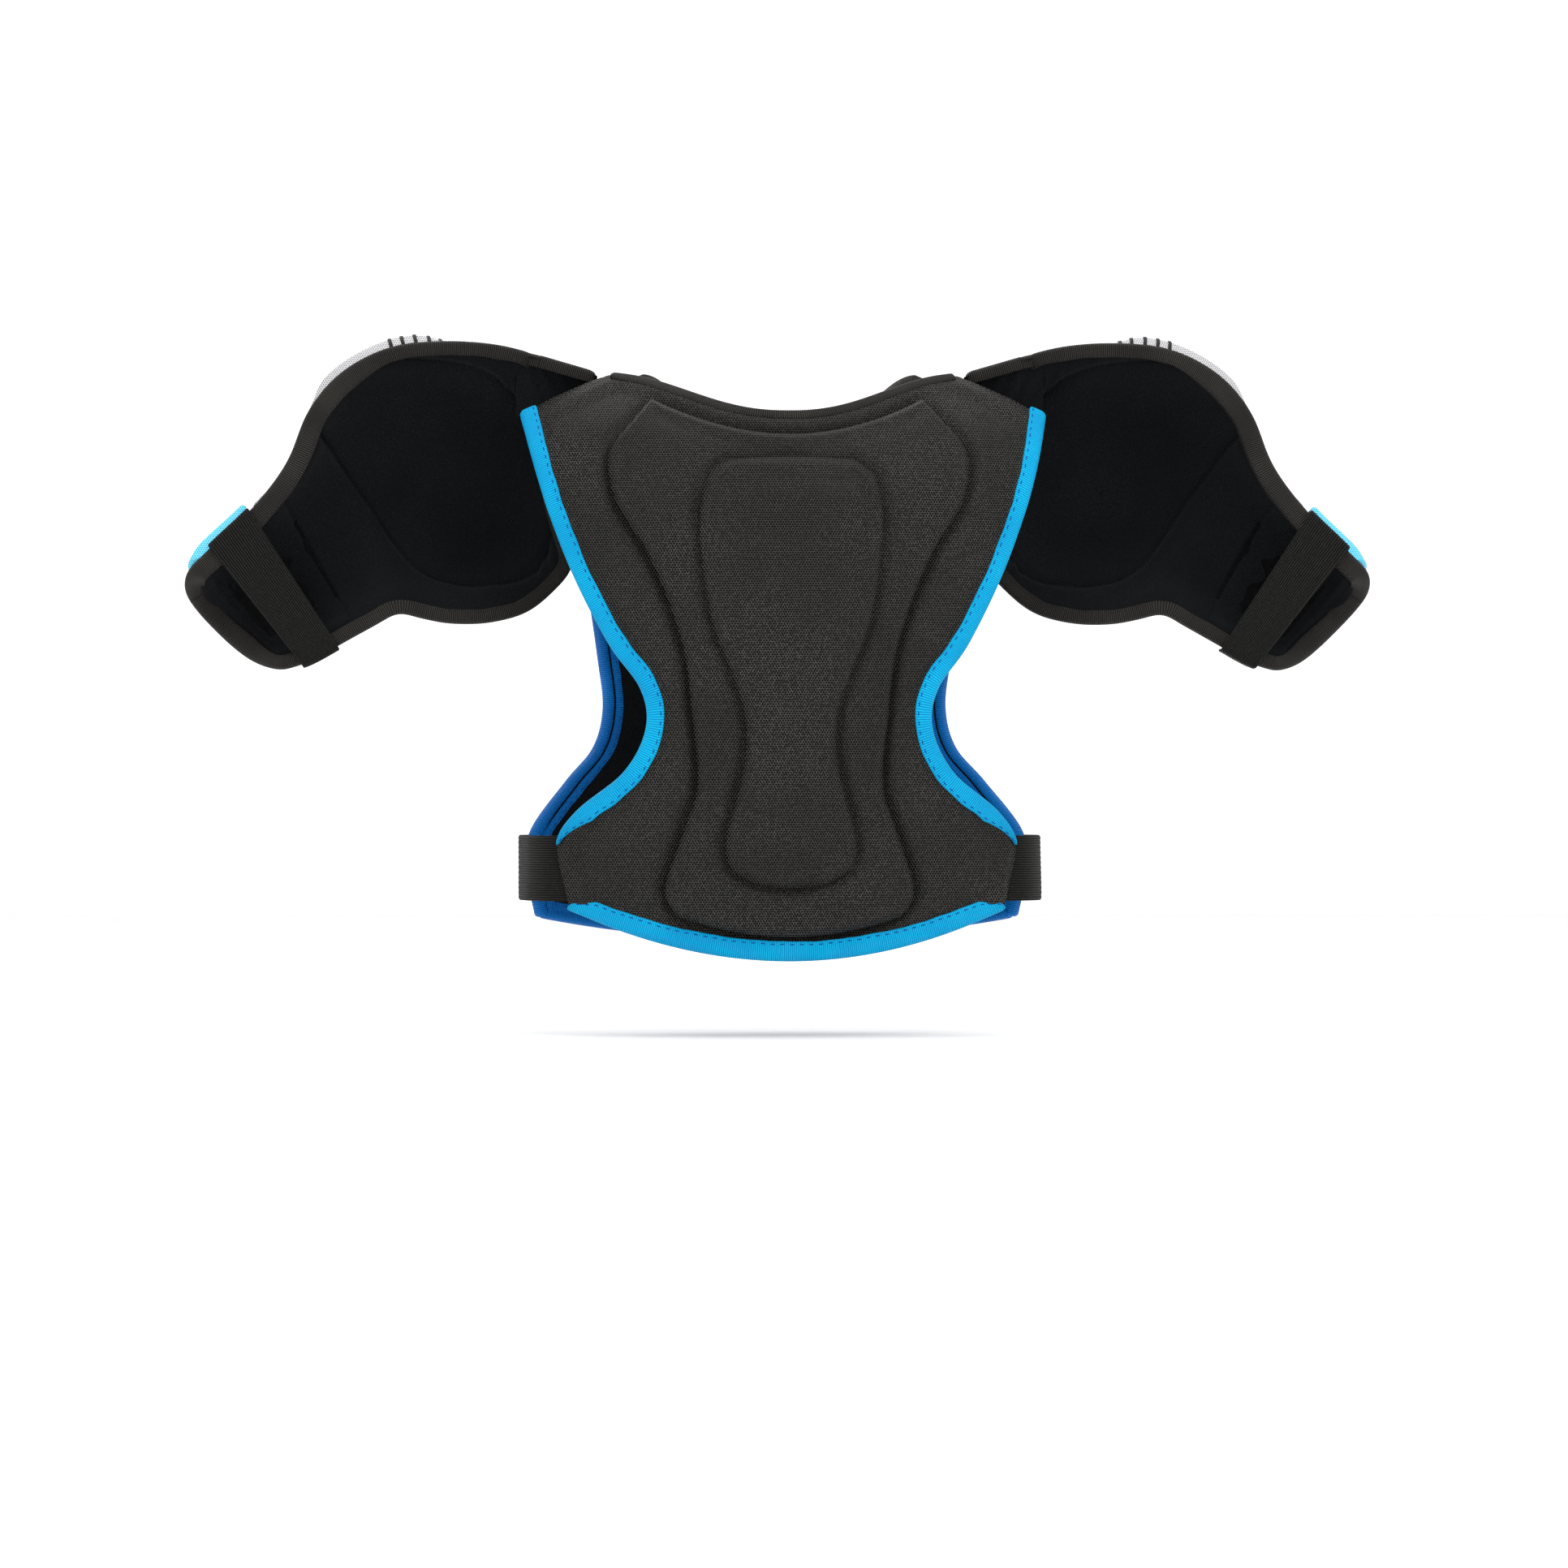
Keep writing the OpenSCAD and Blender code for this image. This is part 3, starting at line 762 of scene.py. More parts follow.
@dataclass(frozen=True)
class MeshCloth:
    """Open mesh cloth: threads round small holes set like a honeycomb, with painted highlight flecks on the
    threads.
    """

    name: str
    thread: Color
    hole: Color
    pitch: float = 1.65
    depth: float = 0.4
    roughness: float = 0.5
    gloss: float = 0.18
    # How much brighter the painted highlight flecks on the threads are than the thread.
    wear: float = 2.6

    def material(self) -> bpy.types.Material:
        """Make the material."""
        g = Graph(self.name, self.thread, self.roughness)
        xyz = g.coords(Weave.PLANE)
        x, _, z = g.split(xyz)
        comb = g.honeycomb(x, z, self.pitch * MM)
        holes = g.span(comb, -0.42, 0.12)
        # Noise strews painted highlight flecks over the threads: a brighter copy of the thread colour stands
        # in for glints of light.
        fleck = g.span(g.noise(xyz, 900, 1), 0.35, 0.7)
        drift = g.span(g.noise(xyz, 14, 3), 0.3, 0.7)
        thread_glint = tuple(min(1.0, c * self.wear + 0.004) for c in self.thread)
        lit = g.blend(g.calc("MULTIPLY", fleck, g.calc("MULTIPLY_ADD", drift, 0.6, 0.4)), self.thread, thread_glint)
        g.color(g.blend(holes, lit, self.hole))
        g.rough(g.span(drift, 0, 1, self.roughness - 0.08, self.roughness + 0.1))
        g.gloss(self.gloss)
        g.relief(g.calc("SUBTRACT", 1.0, holes), self.depth * MM, 0.9)
        return g.material


@dataclass(frozen=True)
class KnitLining:
    """Brushed knit with faint slanting ribs, their crests brightened by painted highlight."""

    name: str
    base: Color
    # The lighter colour: painted highlight on the rib crests, and the lighter end of a random tone.
    light: Color
    pitch: float = 1.1
    slant: float = 0.62
    sheen: float = 0.035

    def material(self) -> bpy.types.Material:
        """Make the material."""
        g = Graph(self.name, self.base, 0.88)
        xyz = g.coords(Weave.PLANE)
        x, _, z = g.split(xyz)
        level = g.calc("MULTIPLY", x, math.cos(self.slant))
        slope = g.calc("ADD", level, g.calc("MULTIPLY", z, math.sin(self.slant)))
        bend = g.calc("MULTIPLY_ADD", g.noise(xyz, 40, 2), 0.0012, slope)
        rib = g.ribs(bend, self.pitch * MM)
        fuzz = g.noise(xyz, 1500, 2)
        drift = g.noise(xyz, 18, 3)
        tone = g.calc("MULTIPLY", g.span(fuzz, 0.3, 0.75), g.span(drift, 0.25, 0.8, 0.35, 1))
        # Painted highlight: the rib crests lean towards the lighter colour; the rest of the mix is random
        # tone from the fuzz and drift noise.
        shade = g.calc("MULTIPLY_ADD", rib, 0.3, g.calc("MULTIPLY", tone, 0.7))
        g.color(g.blend(shade, self.base, self.light))
        g.rough(g.span(fuzz, 0.2, 0.8, 0.8, 0.98))
        g.gloss(0.05)
        g.sheen(self.sheen, 0.45, (0.75, 0.82, 0.95))
        g.relief(g.calc("MULTIPLY_ADD", rib, 0.9, fuzz), 0.0003, 0.9)
        return g.material


@dataclass(frozen=True)
class Grosgrain:
    """Ribbed tape: the ribs run across it, with painted shade in the valleys between them."""

    name: str
    base: Color
    # The colour of the painted shade in the valleys between the ribs.
    valley: Color
    pitch: float = 1.25
    gloss: float = 0.12
    sheen: float = 0.01

    def material(self) -> bpy.types.Material:
        """Make the material."""
        g = Graph(self.name, self.base, 0.5)
        uv = g.coords(Weave.TAPE)
        xyz = g.coords(Weave.PLANE)
        along, across, _ = g.split(uv)
        wobble = g.calc("MULTIPLY_ADD", g.noise(xyz, 260, 2), 0.0005, along)
        rib = g.ribs(wobble, self.pitch * MM)
        yarn = g.ribs(across, 0.00045)
        shade = g.calc("MULTIPLY_ADD", rib, 0.75, g.calc("MULTIPLY", yarn, 0.25))
        drift = g.span(g.noise(xyz, 30, 2), 0.25, 0.8, 0.55, 1)
        # Painted shade: the valleys between the ribs darken towards the valley colour, while the crests keep
        # the base colour, which for the black tape is brightened into a painted highlight; drift adds random
        # tone.
        g.color(g.blend(g.calc("MULTIPLY", g.span(shade, 0.1, 0.75), drift), self.valley, self.base))
        g.rough(g.span(rib, 0, 1, 0.72, 0.45))
        g.gloss(self.gloss)
        g.sheen(self.sheen, 0.4, (1, 1, 1))
        g.relief(shade, 0.00045, 0.95)
        return g.material


@dataclass(frozen=True)
class WovenElastic:
    """Elastic webbing: the ribs run along it, with painted highlight on their crests."""

    name: str
    base: Color
    # The colour of the painted highlight on the rib crests.
    light: Color
    pitch: float = 1.45

    def material(self) -> bpy.types.Material:
        """Make the material."""
        g = Graph(self.name, self.base, 0.7)
        xyz = g.coords(Weave.PLANE)
        along, across, _ = g.split(g.coords(Weave.TAPE))
        rib = g.ribs(g.calc("MULTIPLY_ADD", g.noise(xyz, 300, 2), 0.0003, across), self.pitch * MM)
        pick = g.ribs(along, 0.0007)
        fuzz = g.span(g.noise(xyz, 1200, 2), 0.3, 0.75)
        weave = g.calc("MULTIPLY", rib, g.calc("MULTIPLY_ADD", pick, 0.35, 0.65))
        shade = g.calc("MULTIPLY", weave, g.calc("MULTIPLY_ADD", fuzz, 0.6, 0.4))
        # Painted highlight: the crests of the ribs and picks lean towards the light colour, dimmed at random
        # by the fuzz noise.
        g.color(g.blend(shade, self.base, self.light))
        g.rough(g.span(rib, 0, 1, 0.85, 0.55))
        g.gloss(0.1)
        g.sheen(0.015, 0.4, (1, 0.95, 0.9))
        g.relief(weave, 0.0006, 0.95)
        return g.material


@dataclass(frozen=True)
class LoopPile:
    """Napped loop pile for a hook fastening."""

    name: str
    base: Color
    light: Color

    def material(self) -> bpy.types.Material:
        """Make the material."""
        g = Graph(self.name, self.base, 0.95)
        xyz = g.coords(Weave.PLANE)
        nap, clumps = g.noise(xyz, 2200, 3), g.noise(xyz, 240, 3)
        tone = g.calc("MULTIPLY", g.span(nap, 0.35, 0.7), g.span(clumps, 0.3, 0.75, 0.3, 1))
        g.color(g.blend(tone, self.base, self.light))
        g.rough(g.span(nap, 0, 1, 0.85, 1.0))
        g.gloss(0.05)
        g.sheen(0.008, 0.6, (0.8, 0.85, 0.95))
        g.relief(g.calc("ADD", nap, g.calc("MULTIPLY", clumps, 0.8)), 0.0006, 1.0)
        return g.material


@dataclass(frozen=True)
class Thread:
    """Twisted sewing thread, with painted highlight on the crests of its twist."""

    name: str
    base: Color
    light: Color

    def material(self) -> bpy.types.Material:
        """Make the material."""
        g = Graph(self.name, self.base, 0.5)
        xyz = g.coords(Weave.PLANE)
        x, y, z = g.split(xyz)
        twist = g.ribs(g.calc("ADD", g.calc("ADD", x, y), z), 0.0004)
        # Painted highlight: a lighter stripe on the crests of the twist.
        g.color(g.blend(twist, self.base, self.light))
        g.rough(g.span(g.noise(xyz, 800), 0.2, 0.8, 0.4, 0.65))
        g.gloss(0.15)
        g.relief(twist, 0.0001, 0.7)
        return g.material


@dataclass(frozen=True)
class MouldedPlastic:
    """Plain moulded sheet plastic with a fine texture."""

    name: str
    base: Color
    light: Color

    def material(self) -> bpy.types.Material:
        """Make the material."""
        g = Graph(self.name, self.base, 0.45)
        xyz = g.coords(Weave.PLANE)
        grain, drift = g.noise(xyz, 1400, 2), g.noise(xyz, 20, 3)
        g.color(g.blend(drift, self.base, self.light))
        g.rough(g.span(grain, 0.2, 0.8, 0.38, 0.6))
        g.relief(grain, 0.00008, 0.6)
        return g.material


@dataclass(frozen=True)
class StudioPaper:
    """Pale, seamless studio paper."""

    name: str
    base: Color

    def material(self) -> bpy.types.Material:
        """Make the material."""
        g = Graph(self.name, self.base, 0.9)
        xyz = g.coords(Weave.PLANE)
        tone = g.span(g.noise(xyz, 3, 2), 0, 1)
        g.color(g.blend(tone, tuple(c * 0.985 for c in self.base), self.base))
        g.relief(g.noise(xyz, 300, 2), 0.00005, 0.2)
        return g.material


class Wardrobe:
    """Every finish of the pads, made once and shared."""

    def __init__(self) -> None:
        """Make the materials, by the record's slot names."""
        finishes = {
            # The mesh cloths' last number sets how much brighter their painted highlight flecks on the
            # threads are.
            "black_mesh": MeshCloth(
                "black_mesh", (0.0255, 0.0245, 0.0222), (0.0006, 0.0006, 0.0007), gloss=0.1, wear=3.4
            ),
            # The lining's second colour is a painted highlight on its rib crests, mixed with a lighter random
            # tone.
            "black_lining": KnitLining("black_lining", (0.0018, 0.0020, 0.0024), (0.0125, 0.0130, 0.0142)),
            # Each tape's second colour is painted shade in the valleys between its ribs.
            "cyan_binding": Grosgrain("cyan_binding", (0.0, 0.51, 0.80), (0.0, 0.20, 0.50)),
            "blue_binding": Grosgrain("blue_binding", (0.0, 0.21, 0.62), (0.0, 0.075, 0.33)),
            "black_binding": Grosgrain("black_binding", (0.038, 0.035, 0.030), (0.0014, 0.0013, 0.0012)),
            # The elastic's second colour is a painted highlight on its rib crests.
            "black_elastic": WovenElastic("black_elastic", (0.0012, 0.0012, 0.0011), (0.033, 0.032, 0.030)),
            "hook_and_loop": LoopPile("hook_and_loop", (0.0014, 0.0014, 0.0016), (0.0075, 0.0075, 0.008)),
            "white_cover": MeshCloth(
                "white_cover", (0.60, 0.595, 0.60), (0.27, 0.27, 0.29), 1.5, 0.2, 0.6, 0.2, 1.25
            ),
            "light_blue_cover": MeshCloth(
                "light_blue_cover", (0.22, 0.66, 0.82), (0.03, 0.42, 0.68), 1.5, 0.16, 0.55, 0.2, 1.35
            ),
            "stiff_plate": MouldedPlastic("stiff_plate", (0.7, 0.69, 0.64), (0.8, 0.79, 0.75)),
        }
        self.materials = {key: finish.material() for key, finish in finishes.items()}
        self.extras = {
            # Each thread's second colour is a painted highlight on the crests of its twist.
            "blue_thread": Thread("blue_thread", (0.0, 0.05, 0.25), (0.0, 0.10, 0.38)).material(),
            "black_thread": Thread("black_thread", (0.004, 0.004, 0.004), (0.016, 0.016, 0.015)).material(),
        }

    def dress(self, obj: Piece, slot: str, extra: str | None = None) -> Piece:
        """Put a finish on a piece.

        Args:
            obj: The piece.
            slot: The record's material slot.
            extra: A thread to use instead of the slot's own material.

        Returns:
            The same piece.
        """
        obj.data.materials.clear()
        obj.data.materials.append(self.extras[extra] if extra else self.materials[slot])
        return obj


# --- sub-assemblies ---

BACK = TorsoForm(
    out=(0, 1, 0),
    neck_share=0.67,
    edge=(
        (131, -322), (138, -284), (127, -262), (99, -238), (86, -212),
        (89, -188), (108, -160), (130, -115), (149, -62), (160, -23),
    ),
)
CHEST = TorsoForm(
    out=(0, -1, 0),
    edge=(
        (147, -328), (152, -300), (150, -274), (128, -243), (111, -222),
        (105, -198), (108, -168), (116, -115), (127, -65), (138, -20),
    ),
    depth=86,
    hem_drop=15,
    neck_drop=-42,
    neck_rise=21,
)
BACK_FACE = 8.8
CHEST_FACE = 9.8


@dataclass
class Panel:
    """A torso panel: foam and mesh, bound with tape along its edges."""

    wardrobe: Wardrobe
    form: TorsoForm
    prefix: str
    body: str
    face: float
    groove_round: tuple[PadForm, ...] = ()
    crown: float = 2.4
    tape_w: float = 11.5
    rows: int = 170
    columns: int = 150
    pull: float = 0.5
    crease: float = 1.1

    def outer_height(self, u: Array, v: Array) -> Array:
        """Give the cloth's height over the inner face."""
        p = self.form.point(u, v)
        x, z = p[..., 0], p[..., 2]
        rim = -signed_distance(x, z, self.form.outline())
        height = self.face - 1.6 + 1.6 * ease(rim, 1, 5)
        height = height - 1.1 * ridge(rim - self.tape_w - 0.5, 2.2) + self.crown * ease(rim, self.tape_w, 34)
        for pad in self.groove_round:
            out = signed_distance(x, z, pad.outline())
            height = height - (self.crown + 3.4) * ridge(np.maximum(out, 0) - 0.3, 3.8)
        top = ease(z, -70, -35) * (1 - ease(np.abs(x), 66, 92))
        height = height - self.crease * top * ridge(rim - self.tape_w - 9, 2.4)
        flank = ease(np.abs(x), 104, 116) * ease(-z, 30, 60) * (1 - ease(-z, 110, 165)) * ease(rim, 12, 20)
        height = height + 0.4 * self.crease * flank * np.sin(x / 2.4 + 0.8 * np.sin(z / 17))
        height = height + 0.45 * wave_noise(x, z, 55, 4) * ease(rim, 12, 26)
        tension = ease(np.abs(x), 85, 130) * ease(-z, 235, 290)
        height = height + self.pull * tension * np.sin((z + 0.25 * np.abs(x)) / 5.2)
        return height

    def build(self) -> Piece:
        """Build the foam panel under its mesh cloth."""
        u, v = lattice(np.linspace(0, 1, self.rows), crowded(self.columns, 1.25))
        inset = replace(self.form, inset=1.2)
        outer = inset.raised(u, v, self.outer_height(u, v))
        inner = inset.raised(u, v, 0.6)
        obj = self.wardrobe.dress(shell(f"{self.prefix}_foam_panel", inner, outer), "black_mesh")
        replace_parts(obj, f"{self.prefix}_panel")
        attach(obj, self.body)
        return obj

    def build_lining(self) -> Piece:
        """Build the quilted lining inside the panel."""
        u, v = lattice(np.linspace(0.012, 0.985, 120), np.linspace(-0.96, 0.96, 110))
        p = self.form.point(u, v)
        x, z = p[..., 0], p[..., 2]
        rim = -signed_distance(x, z, self.form.outline())
        cell = 17.0
        quilt = np.minimum(
            np.abs(((x + z) / cell) % 1 - 0.5), np.abs(((x - z) / cell) % 1 - 0.5)
        ) * cell
        puff = 1.5 * dome(quilt, 4.5) * ease(rim, 8, 18)
        inner = self.form.raised(u, v, -puff)
        outer = self.form.raised(u, v, 1.4)
        obj = self.wardrobe.dress(shell(f"{self.prefix}_quilted_lining", inner, outer), "black_lining")
        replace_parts(obj, f"{self.prefix}_lining")
        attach(obj, self.body)
        return obj

    def tape(
        self,
        name: str,
        us: Array,
        vs: Array,
        slot: str,
        thread: str,
        width: float,
        replaced: tuple[str, ...],
        mirror: bool = False,
        lobes: float = 0,
        ends: tuple[float, float] = (1.0, 1.0),
        point_run: float = 22,
    ) -> list[Piece]:
        """Fold a stitched tape over one edge of the panel.

        Args:
            name: The tape's name.
            us: The edge's u values.
            vs: The edge's v values.
            slot: The tape's material slot.
            thread: The stitches' finish.
            width: The tape's width from the edge.
            replaced: The CAD nodes it stands for.
            mirror: Whether it is on the wearer's right.
            lobes: How deep the furrow along its middle is.
            ends: How much of its width is left at its two ends.
            point_run: How long each pointed end is, in millimetres.

        Returns:
            The tape and its stitches.
        """
        middle = self.form.point(np.full_like(us, 0.5), np.zeros_like(us))
        points, into, normals = edge_frame(self.form, us, vs, middle)
        wander = 0.35 * wave_noise(points[:, 0], points[:, 2], 23, 9)
        profile = tape_profile(width, self.face - 0.6, lobes=lobes)
        profiles = np.broadcast_to(profile, (len(us), *profile.shape)).copy()
        profiles[..., 0] += wander[:, None] * (profile[:, 0] > width * 0.6)
        run = run_along(points)
        slim = (ends[0] + (1 - ends[0]) * np.clip(run / point_run, 0, 1) ** 0.8) * (
            ends[1] + (1 - ends[1]) * np.clip((run[-1] - run) / point_run, 0, 1) ** 0.8
        )
        profiles[..., 0] *= slim[:, None]
        obj = sweep(name, points, into, normals, profiles, mirror=mirror, taper=(0.7, 0.85), taper_run=3)
        self.wardrobe.dress(obj, slot)
        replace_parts(obj, *replaced)
        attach(obj, self.body)
        rows = []
        for tag, a, n, up in (("", width - 1.9, self.face + 0.3, 1), ("_inner", width - 1.9, -0.95, -1)):
            row = points + into * ((a + wander) * slim)[:, None] + normals * n
            thread_row = stitches(f"{name}_stitches{tag}", row, normals * up, 3.0, 2.9, 0.85, mirror)
            rows.append(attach(self.wardrobe.dress(thread_row, slot, thread), self.body))
        return [obj, *rows]


@dataclass
class PaddedRelief:
    """A raised pad moulded into the cloth, with a rolled rim and a groove round it."""

    wardrobe: Wardrobe
    form: PadForm
    name: str
    node: str
    body: str
    slot: str
    base: float
    top: float
    radius: float = 6
    crown: float = 1.2
    rim: float = 0.6
    groove_round: tuple[PadForm, ...] = ()
    rows: int = 150
    columns: int = 90
    pressure: float = 3.0
    swell: float = 1.4
    mirror: bool = False

    def build(self) -> Piece:
        """Build the pad, swell it and dress it."""
        t = shares(self.rows, 1.5)
        u, v = lattice(t, crowded(self.columns, 1.6))
        p = self.form.point(u, v)
        x, z = p[..., 0], p[..., 2]
        inside = np.maximum(-signed_distance(x, z, self.form.outline()), 0)
        height = self.base + (self.top - self.base) * dome(inside, self.radius)
        height += self.crown * ease(inside, self.radius * 0.6, 34)
        height += self.rim * (ridge(inside - self.radius * 0.8, 1.8) - ridge(inside - self.radius * 1.7, 2.6))
        for pad in self.groove_round:
            out = signed_distance(x, z, pad.outline())
            height -= (self.crown + 3.0) * ridge(np.maximum(out, 0) - 0.3, 3.6)
        height += 0.3 * wave_noise(x, z, 48, 12) * ease(inside, 4, 14)
        outer = self.form.raised(u, v, height)
        inner = self.form.raised(u, v, self.base - 0.8)
        obj = shell(self.name, inner, outer, self.mirror)
        held = np.concatenate([np.ones(u.size, bool), (inside < 1.5).ravel()])
        inflated(obj, held, self.pressure, self.swell)
        self.wardrobe.dress(obj, self.slot)
        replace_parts(obj, self.node)
        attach(obj, self.body)
        log.info("%s: %d vertices", self.name, len(obj.data.vertices))
        return obj


# --- torso ---

YOKE_PAD = PadForm(
    out=(0, 1, 0),
    face=BACK,
    edge=(
        (66, -326), (74, -309), (63, -273), (55, -246), (58, -205), (64, -160),
        (82, -110), (102, -76), (107, -58), (105.5, -45), (93.5, -31), (81, -17),
    ),
    bottom_drop=12,
    top_drop=21,
)
SPINE_PAD = PadForm(
    out=(0, 1, 0),
    face=BACK,
    edge=(
        (22, -305), (35, -296), (38, -280), (33, -258), (27, -230), (27, -205),
        (34, -180), (46, -147), (52, -107), (53, -80), (48, -62), (36, -54),
    ),
    bottom_drop=3,
    top_drop=-1,
)
STERNUM_PAD = PadForm(
    out=(0, -1, 0),
    face=CHEST,
    edge=((16, -215), (27, -205), (34, -170), (38, -130), (34, -100), (24, -88)),
    bottom_drop=6,
)
CHEST_PAD_EDGE = ((16, -195), (25, -185), (29, -160), (31, -125), (33, -95), (28, -72), (18, -64))
LEFT_CHEST_PAD = PadForm(
    out=(0, -1, 0), face=CHEST, edge=CHEST_PAD_EDGE, centre_x=75, bottom_drop=3, top_drop=-2
)
RIGHT_CHEST_PAD = PadForm(
    out=(0, -1, 0), face=CHEST, edge=CHEST_PAD_EDGE, centre_x=-75, bottom_drop=3, top_drop=-2
)


@dataclass(frozen=True)
class YokeForm(Form):
    """The saddle over a shoulder: u from the back to the chest, v outwards."""

    out: tuple[float, float, float] = (0, 0, 1)
    arch: float = 1.5

    def point(self, u: Array, v: Array) -> Array:
        """Give the saddle's points at u and v."""
        u, v = together(u, v)
        share = 0.61 + 0.35 * v
        back = BACK.point(np.ones_like(u), share)
        chest = CHEST.point(np.ones_like(u), share)
        p = back + (chest - back) * u[..., None]
        p[..., 2] += self.arch * 4 * u * (1 - u)
        return p


@dataclass
class BackAssembly:
    """The back panel with its raised pads, lining and bindings."""

    wardrobe: Wardrobe
    side_tape_w: float = 12
    hem_tape_w: float = 12.5
    neck_tape_w: float = 8.5
    side_start: float = 0.118

    def build(self) -> None:
        """Build every piece of the back."""
        panel = Panel(self.wardrobe, BACK, "back", "torso", BACK_FACE, (YOKE_PAD,))
        panel.build()
        panel.build_lining()
        PaddedRelief(
            self.wardrobe, YOKE_PAD, "back_wide_pad", "back_yoke_pad", "torso", "black_mesh",
            base=6.6, top=14.9, radius=6.5, crown=1.0, groove_round=(SPINE_PAD,), rows=190, columns=120,
        ).build()
        PaddedRelief(
            self.wardrobe, SPINE_PAD, "back_spine_pad", "spine_pad", "torso", "black_mesh",
            base=13.2, top=21.6, radius=7, crown=1.8, rows=150, columns=70,
        ).build()
        us = np.linspace(self.side_start, 1, 170)
        ones = np.ones_like(us)
        for side in Side:
            panel.tape(
                f"{side.word}_back_edge_tape", us, ones, "cyan_binding", "blue_thread", self.side_tape_w,
                (f"{side.word}_back_binding",), side is Side.RIGHT, ends=(0.12, 1.0), point_run=30,
            )
        vs = np.linspace(-1, 1, 170)
        panel.tape(
            "back_hem_tape", np.zeros_like(vs), vs, "cyan_binding", "blue_thread", self.hem_tape_w,
            ("back_hem_binding",), ends=(0.3, 0.3), point_run=16,
        )
        neck_vs = np.linspace(-0.645, 0.645, 130)
        panel.tape(
            "back_neck_tape", np.ones_like(neck_vs), neck_vs, "black_binding", "black_thread",
            self.neck_tape_w, ("back_neck_binding",), ends=(0.7, 0.7), point_run=9,
        )
        self.wardrobe.dress(bpy.data.objects["spine_plate"], "stiff_plate")


@dataclass
class ChestAssembly:
    """The chest panel with its pads, lining, bindings and loop patches."""

    wardrobe: Wardrobe
    side_tape_w: float = 11
    neck_tape_w: float = 8.5

    def build(self) -> None:
        """Build every piece of the chest."""
        pads = (STERNUM_PAD, LEFT_CHEST_PAD, RIGHT_CHEST_PAD)
        panel = Panel(
            self.wardrobe, CHEST, "chest", "chest", CHEST_FACE, pads,
            crown=0.5, rows=120, columns=110, pull=0, crease=0,
        )
        panel.build()
        panel.build_lining()
        PaddedRelief(
            self.wardrobe, STERNUM_PAD, "chest_sternum_pad", "sternum_pad", "chest", "black_mesh",
            base=8.0, top=18.2, radius=6, rows=80, columns=50,
        ).build()
        for side, form in ((Side.LEFT, LEFT_CHEST_PAD), (Side.RIGHT, RIGHT_CHEST_PAD)):
            PaddedRelief(
                self.wardrobe, form, f"{side.word}_chest_cushion", f"{side.word}_chest_pad", "chest",
                "white_cover", base=8.0, top=16.6, radius=7, rows=80, columns=50,
            ).build()
        us = np.linspace(0, 0.985, 150)
        for side in Side:
            panel.tape(
                f"{side.word}_chest_edge_tape", us, np.ones_like(us), "blue_binding", "blue_thread",
                self.side_tape_w, (f"{side.word}_chest_binding",), side is Side.RIGHT, lobes=1.5,
            )
        vs = np.linspace(-0.985, 0.985, 150)
        panel.tape(
            "chest_hem_tape", np.zeros_like(vs), vs, "blue_binding", "blue_thread", self.side_tape_w,
            ("chest_hem_binding",), lobes=1.2,
        )
        panel.tape(
            "chest_neck_tape", np.ones_like(vs), vs, "black_binding", "black_thread", self.neck_tape_w,
            ("chest_neck_binding",),
        )
        self.wardrobe.dress(bpy.data.objects["sternum_plate"], "stiff_plate")


@dataclass(frozen=True)
class FasteningForm(Form):
    """The place on the chest that a waist tab is pressed on: u outwards, v upwards."""

    out: tuple[float, float, float] = (0, -1, 0)
    half_h: float = 22

    def point(self, u: Array, v: Array) -> Array:
        """Give the place's points at u and v."""
        u, v = together(u, v)
        x, z = 84 + 58 * u, -297 + v * self.half_h
        return np.stack([x, CHEST.face_y(x, z), z], -1)


WAIST_PATH = (
    (132.5, 50), (146, 44), (155, 28), (159, 6), (160.5, -18), (159.7, -38), (157, -52), (151.8, -57.8),
)


@dataclass
class OneSide:
    """What the sub-assemblies of one side share."""

    wardrobe: Wardrobe
    side: Side

    @property
    def mirror(self) -> bool:
        """Say whether this side is the mirrored one."""
        return self.side is Side.RIGHT

    def name(self, what: str) -> str:
        """Name a piece of this side."""
        return f"{self.side.word}_{what}"


